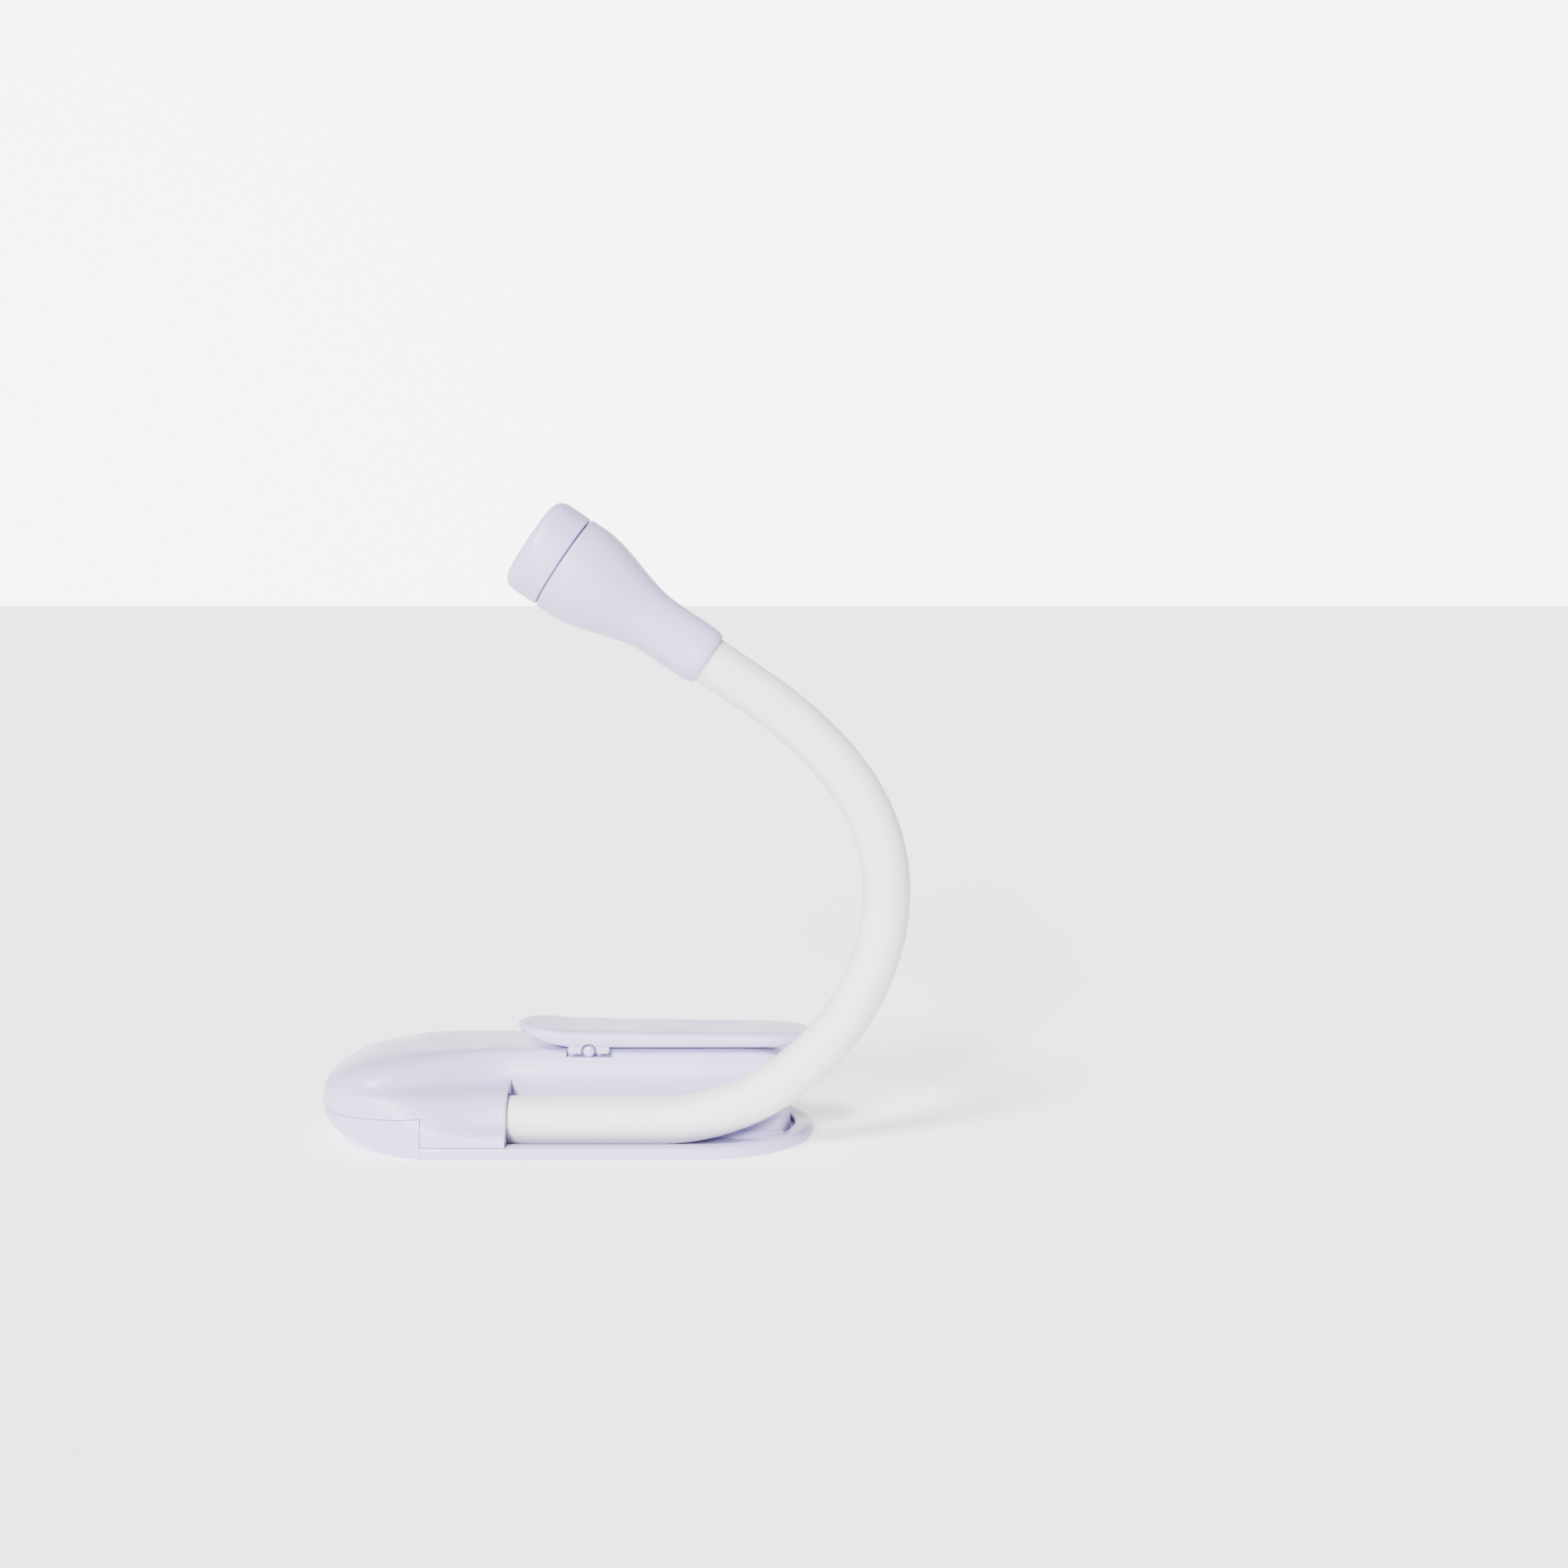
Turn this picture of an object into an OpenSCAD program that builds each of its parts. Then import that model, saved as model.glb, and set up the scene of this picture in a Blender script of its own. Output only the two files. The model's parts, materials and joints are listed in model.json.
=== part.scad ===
// Clip-on reading lamp: a pebble-shaped battery base with a spring clip on top,
// a bendable neck that leaves the base along its front edge, and a bell-shaped
// lamp head. Millimetres, +Z up. The origin is the centre of the flat underside.
// +X runs along the base from the battery end to the clip's jaw end.

/* [Base] */
// Length of the base along X
body_len = 86; // [85:0.5:88]
// Width of the base along Y
body_w = 40; // [40:0.5:42]
// Height of the base at its crown
body_h = 16; // [16:0.25:17]
// Wall of the plastic shells
wall = 1.6; // [1.4:0.1:1.8]
// Thickness of the base plate and of the rim round its channel
plate_t = 2.2; // [2.1:0.1:2.4]

/* [Neck] */
// Outer diameter of the silicone sleeve
sleeve_d = 8.2; // [8:0.1:8.3]
// Length of one neck link between two joints
link_len = 9.4; // [9:0.1:10]
// Gap between neighbouring sleeve links, which lets them bend
link_gap = 1.3; // [1.2:0.05:1.6]

/* [Head] */
// Length of the lamp head
head_len = 36; // [35.5:0.5:38]
// Diameter of the lamp head at its front ring
head_d = 17; // [16.6:0.2:17.6]

/* [Clip] */
// Width of the clip lever
lever_w = 13.8; // [13:0.2:14]
// Thickness of the clip lever over its hinge
lever_t = 2.8; // [2.6:0.1:3]
// Gap between the lever and the crown of the base
lever_gap = 0.6; // [0.55:0.05:0.8]

/* [Hidden] */
$fn = 48;

body_colour = [0.88, 0.87, 0.92];
sleeve_colour = [0.93, 0.92, 0.93];
steel_colour = [0.7, 0.71, 0.73];
copper_colour = [0.72, 0.45, 0.3];
eps = 0.01;
big = 200;

// Pebble: its widest level, and how full its sides, its battery end and its nose are
equator_z = 6.7;
crown = body_h - equator_z;
side_power = 3.6;
end_power = 2.4;
nose_power = 7;
half_w = body_w / 2;
half_len = body_len / 2;
end_reach = 24;
end_x = -half_len + end_reach;
end_tuck = 3.3;
end_tuck_z = 4.5;
end_cut = 74.5;
nose_x = half_len - half_w;
rim_w = 3.2;
nose_reach = half_w - 4;

// Channel that the neck lies in, and the socket that holds the neck's end
sleeve_r = sleeve_d / 2;
sleeve_bore_r = 2.6;
neck_y = -12;
neck_z = 5.2;
channel_floor = 0.8;
channel_front = -half_w + rim_w;
channel_back = neck_y + sleeve_r + 0.3;
wall_round_z = 10;
wall_round_y = 3.4;
socket_x = -9.4;
socket_r = 5.1;
socket_depth = 6.3;

// Battery door: its side seam, the height of its top seam there and at the tip, and the way it slides
door_x = -23.8;
door_top = 6.8;
door_slope = 2;
door_gap = 0.15;
tongue_end = -14.3;
tongue_half = 11.7;
tongue_t = 1.1;
cell_x = -26;
cell_r = 10;
cell_t = 3.2;
cell_z = 1.5;
cell_gap = 0.1;

// Clip
hinge_x = 4;
hinge_z = body_h - 0.1;
pin_r = 1.05;
pin_half = 6.7;
ear_in = 4.7;
ear_out = 6.6;
ear_drop = 0.35;
ear_pit_z = 14.8;
ear_w = 7;
lug_in = 2.5;
lug_out = 4.4;
lug_r = 1.65;
lever_left = -8.8;
lever_right = 43;
lever_bottom = body_h + lever_gap;
lever_half = lever_w / 2;
lever_drop = 0.6;
tab_start = 1.7;
tab_rise = 2.5;
tab_tip_t = 1.5;
pad_t = 0.45;

// Power switch in the back wall
knob_x = 2.8;
knob_z = 7;
knob_half = 1.5;
knob_travel = 3;
knob_proud = 0.8;
knob_h = 2.2;

// Screws that hold the shell to the plate
screw_spots = [[-8.5, 14], [27, 12], [27, -3]];
screw_r = 0.85;
screw_head_r = 1.8;
screw_head_t = 1;
boss_r = 2.4;
boss_top = 13;

// Circuit board
board_x = -3;
board_y = 1;
board_z = 3.6;
board_len = 24;
board_w = 15.5;
board_t = 1;

// Neck: where the bending part starts, how far links 1 to 11 turn, and the ball joints between links
neck_start = 17;
neck_bends = [16, 15, 12, 13, 13, 14, 16, 17, 14, 9, 7];
core_r = 1.2;
ball_r = 1.9;
cup_r = 2.5;
cup_bore_r = 1.96;

// Head, measured along its axis from the mouth that the neck enters
mouth_r = 4.35;
mouth_round = 2.2;
grip_r = 5.1;
flare_from = 9.5;
flare_to = 26.5;
head_r = head_d / 2;
shell_end = head_len - 6.9;
bezel_round = 2;
head_wall = 1.3;
mouth_depth = 5;
lens_r = 7.1;

// ---- outlines of the pebble ----

// Share of the full reach that is left at height z, for a body inset by inset
function fullness(z, inset, power) =
    z <= equator_z ? 1 : pow(max(0, 1 - pow((z - equator_z) / (crown - inset), power)), 1 / power);

// How far the tip of the battery end tucks under at height z
function tuck(z) = z >= end_tuck_z ? 0 : end_tuck * (1 - sqrt(1 - pow(1 - z / end_tuck_z, 2)));

function back_y(z, inset) = (half_w - inset) * fullness(z, inset, side_power);

// The wall beside the channel is upright, and then rounds over to the crown
function front_y(z, inset) =
    let (rise = max(0, z - wall_round_z) / (body_h - inset - wall_round_z))
    channel_back + inset + wall_round_y * (1 - sqrt(max(0, 1 - pow(rise, 2))));

// One quarter-power curve point of the battery end, at angle a
function end_point(a, z, inset) = [
    end_x - (end_reach - inset - tuck(z)) * fullness(z, inset, end_power) * pow(abs(cos(a)), 2 / end_power),
    back_y(z, inset) * sign(sin(a)) * pow(abs(sin(a)), 2 / end_power)
];

function nose_point(a, z, inset) = [
    nose_x + (nose_reach - inset) * fullness(z, inset, nose_power) * cos(a),
    back_y(z, inset) * sin(a)
];

// Heights of the slices that the hulls join, closer together towards the crown
low_levels = [0, 0.5, 1.4, 2.8, 4.5];
function high_levels(inset) =
    [for (k = [0, 0.3, 0.5, 0.66, 0.78, 0.87, 0.93, 0.97, 0.99, 0.998]) equator_z + (crown - inset) * k];

module slice(z, points) {
    translate([0, 0, z]) linear_extrude(eps) polygon(points);
}

// Battery end of the pebble above level floor_z, as slices
module end_slices(inset, floor_z = 0) {
    last = 180 + end_cut;
    lows = [for (z = low_levels) if (z > floor_z) z];
    for (z = concat([floor_z], lows, high_levels(inset)))
        slice(z, [for (k = [0 : 18]) end_point(90 + (last - 90) * k / 18, z, inset)]);
}

// Section of the raised part beside the channel, as a thin slab at x
module pod_section(x, inset) {
    levels = concat([0], high_levels(inset));
    count = len(levels);
    translate([x, 0, 0]) rotate([90, 0, 90]) linear_extrude(eps)
        polygon(concat(
            [for (z = levels) [front_y(z, inset), z]],
            [for (k = [count - 1 : -1 : 0]) [back_y(levels[k], inset), levels[k]]]
        ));
}

// Rounded nose of the raised part at the jaw end, as slices
module nose_slices(inset) {
    for (z = concat([0], high_levels(inset))) {
        first = asin(max(-1, front_y(z, inset) / back_y(z, inset)));
        slice(z, concat(
            [[nose_x, front_y(z, inset)]],
            [for (k = [0 : 14]) nose_point(first + (90 - first) * k / 14, z, inset)]
        ));
    }
}

// Battery end carried on to the neck socket, hollowed or not, with its floor at floor_z
module end_body(inset, floor_z = 0) {
    hull() {
        end_slices(inset, floor_z);
        pod_section(socket_x, inset);
    }
}

// Whole outer or inner form of the base above the plate: battery end, raised part and neck socket
module pebble(inset, socket_face) {
    end_body(inset);
    hull() {
        pod_section(socket_x, inset);
        nose_slices(inset);
    }
    hull() {
        end_slices(inset);
        translate([socket_face - eps, neck_y, neck_z]) rotate([0, 90, 0])
            cylinder(h = eps, r = socket_r - inset, $fn = 32);
    }
}

// Everything below and left of the battery door's two seams, grown by gap
module door_space(gap) {
    reach = half_len + 5;
    rotate([90, 0, 0]) linear_extrude(body_w + 10, center = true) polygon([
        [door_x + gap, -5],
        [door_x + gap, door_top + gap],
        [-reach, door_top + gap - (reach + door_x + gap) * tan(door_slope)],
        [-reach, -5]
    ]);
}

// Round wire that follows a list of points
module wire(points, r) {
    sides = 8;
    count = len(points);
    function along(k) =
        let (d = points[min(k + 1, count - 1)] - points[max(k - 1, 0)]) d / norm(d);
    function ring(k) =
        let (t = along(k),
             across = cross(t, abs(t[1]) > 0.9 ? [1, 0, 0] : [0, 1, 0]),
             u = across / norm(across),
             v = cross(t, u))
        [for (s = [0 : sides - 1]) points[k] + r * (cos(360 * s / sides) * u + sin(360 * s / sides) * v)];
    polyhedron(
        points = [for (k = [0 : count - 1]) each ring(k)],
        faces = concat(
            [[for (s = [0 : sides - 1]) s]],
            [for (k = [0 : count - 2], s = [0 : sides - 1])
                [k * sides + s, (k + 1) * sides + s, (k + 1) * sides + (s + 1) % sides]],
            [for (k = [0 : count - 2], s = [0 : sides - 1])
                [k * sides + s, (k + 1) * sides + (s + 1) % sides, k * sides + (s + 1) % sides]],
            [[for (s = [sides - 1 : -1 : 0]) (count - 1) * sides + s]]
        )
    );
}

// ---- base ----

module plate_outline() {
    intersection() {
        union() {
            translate([end_x, 0])
                polygon([for (k = [0 : 36]) end_point(90 + 5 * k, equator_z, 0) - [end_x, 0]]);
            translate([end_x - eps, -half_w]) square([nose_x - end_x + eps, body_w]);
            translate([nose_x, 0]) circle(r = half_w, $fn = 96);
        }
        translate([door_x + door_gap, -half_w]) square([body_len, body_w]);
    }
}

module channel_outline() {
    difference() {
        intersection() {
            translate([socket_x - socket_depth, -half_w]) square([body_len, body_w]);
            union() {
                translate([socket_x - socket_depth, channel_front])
                    square([nose_x - socket_x + socket_depth, channel_back - channel_front]);
                translate([nose_x, 0]) circle(r = half_w - rim_w, $fn = 96);
            }
        }
        polygon(concat(
            [[-half_len, half_w], [-half_len, channel_back], [nose_x, channel_back]],
            [for (k = [0 : 20])
                nose_point(asin(channel_back / half_w) * (1 - k / 20) + 90 * k / 20, equator_z, 0)]
        ));
    }
}

module base_plate() {
    color(body_colour) difference() {
        union() {
            linear_extrude(plate_t) plate_outline();
            for (spot = [[0, 4], [18, 13.5]])
                translate([spot[0], spot[1], plate_t - eps]) cylinder(h = board_z - plate_t + eps, r = 1.4);
        }
        translate([0, 0, channel_floor]) linear_extrude(plate_t) channel_outline();
        // opening for the cells, and the recess that the door's tongue slides in
        translate([-half_len, -cell_r - 0.6, -eps])
            cube([cell_x + cell_r + 0.6 + half_len, 2 * cell_r + 1.2, big]);
        translate([-half_len, -tongue_half - door_gap, -eps])
            cube([half_len + tongue_end + door_gap, 2 * (tongue_half + door_gap), tongue_t + door_gap]);
        for (spot = screw_spots) translate([spot[0], spot[1], 0]) {
            translate([0, 0, -eps]) cylinder(h = plate_t + 1, r = screw_r + 0.1);
            translate([0, 0, -eps]) cylinder(h = screw_head_t + 0.1 + eps, r = screw_head_r + 0.15);
        }
    }
}

module pod_shell() {
    color(body_colour) difference() {
        union() {
            difference() {
                pebble(0, socket_x);
                pebble(wall, socket_x - socket_depth - 1.5);
            }
            for (spot = screw_spots) translate([spot[0], spot[1], plate_t])
                cylinder(h = boss_top - plate_t, r = boss_r);
            // thick roof under the hinge
            translate([hinge_x - 6.5, -4.2, 12.8]) cube([11.2, 12.2, 2.4]);
            for (side = [-1, 1]) translate([hinge_x, side * (lug_in + lug_out) / 2, 0]) {
                translate([0, 0, hinge_z]) rotate([90, 0, 0])
                    cylinder(h = lug_out - lug_in, r = lug_r, center = true);
                translate([-lug_r, -(lug_out - lug_in) / 2, 13.5])
                    cube([2 * lug_r, lug_out - lug_in, hinge_z - 13.5]);
            }
        }
        translate([-big / 2, -big / 2, plate_t - big]) cube([big, big, big]);
        door_space(door_gap);
        // bore for the sleeve, and the smaller one for the core behind it
        translate([socket_x - socket_depth, neck_y, neck_z]) rotate([0, 90, 0])
            cylinder(h = socket_depth + 1, r = sleeve_r + 0.05);
        translate([socket_x - socket_depth - 6, neck_y, neck_z]) rotate([0, 90, 0])
            cylinder(h = 8, r = core_r + 0.1);
        for (spot = screw_spots) translate([spot[0], spot[1], plate_t - eps])
            cylinder(h = 7.5, r = screw_r + 0.03);
        // hinge bore, the pit round the spring, and the pockets that the lever's ears turn in
        translate([hinge_x, 0, hinge_z]) rotate([90, 0, 0]) {
            cylinder(h = 2 * pin_half + 0.4, r = pin_r + 0.02, center = true);
            cylinder(h = 2 * lug_in - 0.3, r = 2.15, center = true);
        }
        translate([hinge_x - 6.1, -lug_in + 0.15, hinge_z - 0.95])
            cube([6.1, 2 * lug_in - 0.3, 3]);
        for (side = [-1, 1]) translate([hinge_x, side * (ear_in + ear_out) / 2, 0])
            translate([-ear_w / 2 - 0.5, -(ear_out - ear_in) / 2 - 0.25, ear_pit_z])
                cube([ear_w + 1, ear_out - ear_in + 0.5, 4]);
        // slot for the switch knob
        translate([knob_x - knob_half - 0.2, half_w - 3, knob_z - knob_h / 2 - 0.2])
            cube([2 * knob_half + knob_travel + 0.4, 5, knob_h + 0.4]);
    }
}

module shell_screws() {
    color(steel_colour) for (spot = screw_spots) translate([spot[0], spot[1], 0.1]) difference() {
        union() {
            cylinder(h = screw_head_t, r = screw_head_r);
            cylinder(h = 9, r = screw_r);
        }
        for (turn = [0, 90]) rotate([0, 0, turn]) translate([-1.2, -0.25, -eps]) cube([2.4, 0.5, 0.5]);
    }
}

module battery_door() {
    color(body_colour) union() {
        difference() {
            intersection() {
                end_body(0);
                door_space(0);
            }
            end_body(wall, tongue_t);
        }
        translate([door_x - 2, -tongue_half, 0]) cube([tongue_end - door_x + 2, 2 * tongue_half, tongue_t]);
    }
}

module coin_cell(z) {
    color(steel_colour) translate([cell_x, 0, z]) {
        cylinder(h = cell_t - 0.4, r = cell_r);
        cylinder(h = cell_t, r = cell_r - 1.2);
    }
}

module coin_cell_lower() coin_cell(cell_z);

module coin_cell_upper() coin_cell(cell_z + cell_t + cell_gap);

// Bent strip that touches the rim of the cells
module cell_contact_side() {
    strip_x = cell_x + cell_r + 0.15;
    color(steel_colour) {
        translate([strip_x, -1, 2.4]) cube([0.3, 4, 5]);
        translate([strip_x, 1.2, board_z + board_t + 0.05]) cube([board_x + 1.5 - strip_x, 1.8, 0.3]);
    }
}

// Bent strip over the upper cell
module cell_contact_top() {
    strip_z = cell_z + 2 * cell_t + cell_gap + 0.1;
    tail_z = board_z + board_t + 0.05;
    color(steel_colour) {
        translate([cell_x - 5, 4, strip_z]) cube([18, 3, 0.3]);
        translate([cell_x + 12.7, 4, tail_z]) cube([0.3, 3, strip_z + 0.3 - tail_z]);
        translate([cell_x + 12.7, 4, tail_z]) cube([board_x + 1.5 - cell_x - 12.7, 3, 0.3]);
    }
}

module circuit_board() {
    color("darkgreen") translate([board_x, board_y, board_z]) cube([board_len, board_w, board_t]);
}

module switch_housing() {
    color(steel_colour) translate([knob_x - 3, 11.5, board_z + board_t]) cube([9, 3.7, 4.2]);
}

module driver_chip() {
    color("dimgray") translate([11, 4, board_z + board_t]) cube([4, 3.2, 1.2]);
}

module resistor() {
    color("tan") translate([5, 5.5, board_z + board_t + 0.9]) rotate([0, 90, 0]) cylinder(h = 4, r = 0.9);
}

// The two insulated leads from the board to the neck clamp
module power_leads() {
    color("white") for (side = [0, 1]) translate([-side, side, 0])
        wire([[-1.5, 7.6, 5.1], [-5, 4.8, 7.6], [-9.5, 0.2, 9.2], [-14.5, -6, 9.4], [-17.6, -9.4, 9.2],
              [-19.5, -11.4, 8.75]], 0.45);
}

module switch_knob() {
    color(body_colour) {
        translate([knob_x - knob_half, half_w - 2.4, knob_z - knob_h / 2])
            cube([2 * knob_half, 2.4 + knob_proud, knob_h]);
        translate([knob_x - 4.5, half_w - 2.6, knob_z - 1.9]) cube([9, 0.8, 3.8]);
        translate([knob_x - 0.8, 15.5, knob_z - 0.7]) cube([1.6, 2, 1.4]);
    }
}

module neck_clamp() {
    color(steel_colour) difference() {
        translate([-25, neck_y - 1.8, plate_t + 0.05]) cube([6, 3.6, 5.6]);
        translate([-25 - eps, neck_y, neck_z]) rotate([0, 90, 0]) cylinder(h = 7, r = core_r + 0.02);
    }
}

// ---- clip ----

module hinge_pin() {
    color(steel_colour) translate([hinge_x, 0, hinge_z]) rotate([90, 0, 0])
        cylinder(h = 2 * pin_half, r = pin_r, center = true);
}

module torsion_spring() {
    coil_r = 1.45;
    turns = 3.5;
    coil = [for (k = [0 : 56])
        let (a = 90 + 360 * turns * k / 56)
        [hinge_x + coil_r * cos(a), -1.65 + 3.3 * k / 56, hinge_z + coil_r * sin(a)]];
    upper_leg = [[hinge_x - 5.6, -1.65, hinge_z + 0.3], [hinge_x - 3.4, -1.65, hinge_z + 0.4]];
    lower_leg = [[hinge_x - 2, 1.65, hinge_z - 0.75], [hinge_x - 5.4, 1.65, hinge_z - 0.6]];
    color(steel_colour) wire(concat(upper_leg, coil, lower_leg), 0.25);
}

// Side view of the lever: flat underside, a top that falls towards the jaw, and an upturned thumb tab
module lever_profile() {
    tab_len = tab_start - lever_left;
    underside = [for (k = [0 : 12])
        let (u = k / 12)
        [tab_start - tab_len * u, lever_bottom + tab_rise * pow(u, 1.6)]];
    top = [for (k = [12 : -1 : 0])
        let (u = k / 12, t = lever_t + (tab_tip_t - lever_t) * pow(u, 2))
        [tab_start - tab_len * u, lever_bottom + tab_rise * pow(u, 1.6) + t]];
    polygon(concat(
        underside, top,
        [[lever_right, lever_bottom + lever_t - lever_drop], [lever_right, lever_bottom]]
    ));
}

module clip_lever() {
    color(body_colour) difference() {
        union() {
            intersection() {
                translate([0, lever_half + 1, 0]) rotate([90, 0, 0])
                    linear_extrude(lever_w + 2) lever_profile();
                linear_extrude(big) union() {
                    translate([lever_left + lever_half, 0]) circle(r = lever_half);
                    translate([lever_right - lever_half, 0]) circle(r = lever_half);
                    translate([lever_left + lever_half, -lever_half])
                        square([lever_right - lever_left - lever_w, lever_w]);
                }
            }
            for (side = [-1, 1])
                translate([hinge_x - ear_w / 2, side > 0 ? ear_in : -ear_out, hinge_z - ear_drop])
                    cube([ear_w, ear_out - ear_in, lever_bottom + 0.5 - hinge_z + ear_drop]);
        }
        translate([hinge_x, 0, hinge_z]) rotate([90, 0, 0])
            cylinder(h = 2 * ear_out + 1, r = pin_r + 0.07, center = true);
        // hollow over the lugs and the spring
        translate([hinge_x - 3.2, -ear_in + 0.1, lever_bottom - 1]) cube([6.4, 2 * ear_in - 0.2, 2.2]);
    }
}

module jaw_pad() {
    color("gainsboro") translate([24, -4, lever_bottom - pad_t]) cube([13, 8, pad_t - 0.02]);
}

// ---- neck ----

function bend_sum(i) = i <= 0 ? 0 : neck_bends[i - 1] + bend_sum(i - 1);

// Vector along an arc of one link that sets off at heading h and turns by b degrees
function arc_vector(h, b) =
    let (r = link_len / (b * PI / 180)) [r * (sin(h + b) - sin(h)), r * (cos(h) - cos(h + b))];

// Position of joint i in the XZ plane of the neck, where joint 0 is the start of link 1
function joint_at(i) =
    i <= 0 ? [neck_start, neck_z] : joint_at(i - 1) + arc_vector(bend_sum(i - 1), neck_bends[i - 1]);

// Revolves its 2D child along the arc of link i, leaving out from_mm and to_mm at the two ends
module along_link(i, from_mm, to_mm) {
    h = bend_sum(i - 1);
    b = neck_bends[i - 1];
    r = link_len / (b * PI / 180);
    centre = joint_at(i - 1) + r * [-sin(h), cos(h)];
    per_mm = b / link_len;
    translate([centre[0], neck_y, centre[1]]) rotate([90, 0, 0])
        rotate_extrude(angle = b - (from_mm + to_mm) * per_mm, start = h - 90 + from_mm * per_mm, $fn = 96)
            translate([r, 0]) children();
}

// Puts its children at joint i, with +Z along the neck's heading there
module at_joint(i) {
    p = joint_at(i);
    translate([p[0], neck_y, p[1]]) rotate([0, 90 - bend_sum(i), 0]) children();
}

// Puts its children at the head's mouth, with +Z along the head's axis
module at_head() {
    at_joint(11) translate([0, 0, link_len]) children();
}

module sleeve_ring() {
    difference() {
        circle(r = sleeve_r);
        circle(r = sleeve_bore_r);
    }
}

// Socket half that holds the next core's ball
module cup() {
    difference() {
        intersection() {
            sphere(r = cup_r);
            translate([-cup_r, -cup_r, -2 * cup_r]) cube([2 * cup_r, 2 * cup_r, 2 * cup_r]);
        }
        sphere(r = cup_bore_r);
    }
}

module neck_sleeve(i) {
    color(sleeve_colour) along_link(i, link_gap / 2, link_gap / 2) sleeve_ring();
}

module neck_core(i) {
    color(steel_colour) {
        at_joint(i - 1) sphere(r = ball_r);
        along_link(i, 0.6, cup_r - 0.25) circle(r = core_r);
        at_joint(i) cup();
    }
}

module neck_sleeve_0() {
    back = socket_x - socket_depth + 0.1;
    color(sleeve_colour) translate([back, neck_y, neck_z]) rotate([0, 90, 0])
        linear_extrude(neck_start - link_gap / 2 - back) sleeve_ring();
}

module neck_core_0() {
    color(steel_colour) {
        translate([-24.5, neck_y, neck_z]) rotate([0, 90, 0])
            cylinder(h = neck_start + 24.5 - cup_r + 0.25, r = core_r);
        at_joint(0) cup();
    }
}

// The last link is straight and runs on into the head
module neck_sleeve_12() {
    color(sleeve_colour) at_joint(11) translate([0, 0, link_gap / 2])
        linear_extrude(link_len + mouth_depth - 0.2 - link_gap / 2) sleeve_ring();
}

module neck_core_12() {
    color(steel_colour) {
        at_joint(11) sphere(r = ball_r);
        at_joint(11) translate([0, 0, 0.6]) cylinder(h = link_len + mouth_depth + 3.4, r = core_r);
    }
}

// ---- head ----

// Outer radius of the head at s along its axis
function head_radius(s) =
    let (u = min(1, max(0, (s - flare_from) / (flare_to - flare_from))))
    s < mouth_round
        ? mouth_r + (grip_r - mouth_r) * sqrt(1 - pow(1 - s / mouth_round, 2))
        : grip_r + (head_r + 0.1 - grip_r) * u * u * (3 - 2 * u);

function head_outline(from_s, to_s, inset, steps) =
    [for (k = [0 : steps]) let (s = from_s + (to_s - from_s) * k / steps) [head_radius(s) - inset, s]];

module head_shell() {
    spigot_end = shell_end + 3;
    color(body_colour) at_head() rotate_extrude($fn = 96) difference() {
        polygon(concat(
            [[0, 0]],
            head_outline(0, mouth_round, 0, 6),
            head_outline(mouth_round + 1, shell_end, 0, 22),
            [[head_r - 1.1, shell_end], [head_r - 1.1, spigot_end], [0, spigot_end]]
        ));
        square([sleeve_r + 0.05, mouth_depth]);
        square([core_r + 0.05, mouth_depth + 4]);
        // room for the ferrule, and the hollow in front of it
        translate([0, mouth_depth + 1]) square([3.25, 8]);
        polygon(concat(
            [[0, mouth_depth + 5]],
            [[3.25, mouth_depth + 5]],
            head_outline(12, shell_end - 0.5, head_wall, 16),
            [[head_r - 2.1, shell_end], [head_r - 2.1, spigot_end + 1], [0, spigot_end + 1]]
        ));
    }
}

module head_ferrule() {
    color(steel_colour) at_head() translate([0, 0, mouth_depth + 1]) difference() {
        cylinder(h = 4, r = 3.2);
        translate([0, 0, -eps]) cylinder(h = 4 + 2 * eps, r = core_r + 0.02);
    }
}

module head_board() {
    color("white") at_head() translate([0, 0, shell_end - 4])
        cylinder(h = 1, r = head_r - head_wall - 0.75);
}

module head_led() {
    color("lemonchiffon") at_head() translate([0, 0, shell_end - 3]) {
        cylinder(h = 0.9, r = 1.75);
        intersection() {
            translate([0, 0, 0.5]) sphere(r = 1.4);
            cylinder(h = 3, r = 1.4);
        }
    }
}

module head_reflector() {
    color(steel_colour) at_head() translate([0, 0, shell_end - 2.5]) rotate_extrude()
        polygon([[1.9, 0], [2.6, 0], [6.1, 5.6], [6.1, 6.2], [5.5, 6.2], [1.9, 0.5]]);
}

module head_lens() {
    color([0.9, 0.95, 1, 0.5]) at_head() translate([0, 0, shell_end + 3.8]) cylinder(h = 1.4, r = lens_r);
}

module head_bezel() {
    gap = 0.3;
    rim = head_len;
    color(body_colour) at_head() rotate_extrude($fn = 96) difference() {
        polygon(concat(
            [[0, shell_end + gap], [head_r, shell_end + gap], [head_r - 0.05, rim - bezel_round]],
            [for (k = [1 : 8])
                [head_r - 0.05 - bezel_round * (1 - cos(90 * k / 8)),
                 rim - bezel_round * (1 - sin(90 * k / 8))]],
            [[0, rim]]
        ));
        translate([0, shell_end - 1]) square([head_r - 1.05, 4.7]);
        square([lens_r + 0.05, shell_end + 5.3]);
        square([lens_r - 0.7, rim + 1]);
    }
}

// ---- assembly ----

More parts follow.
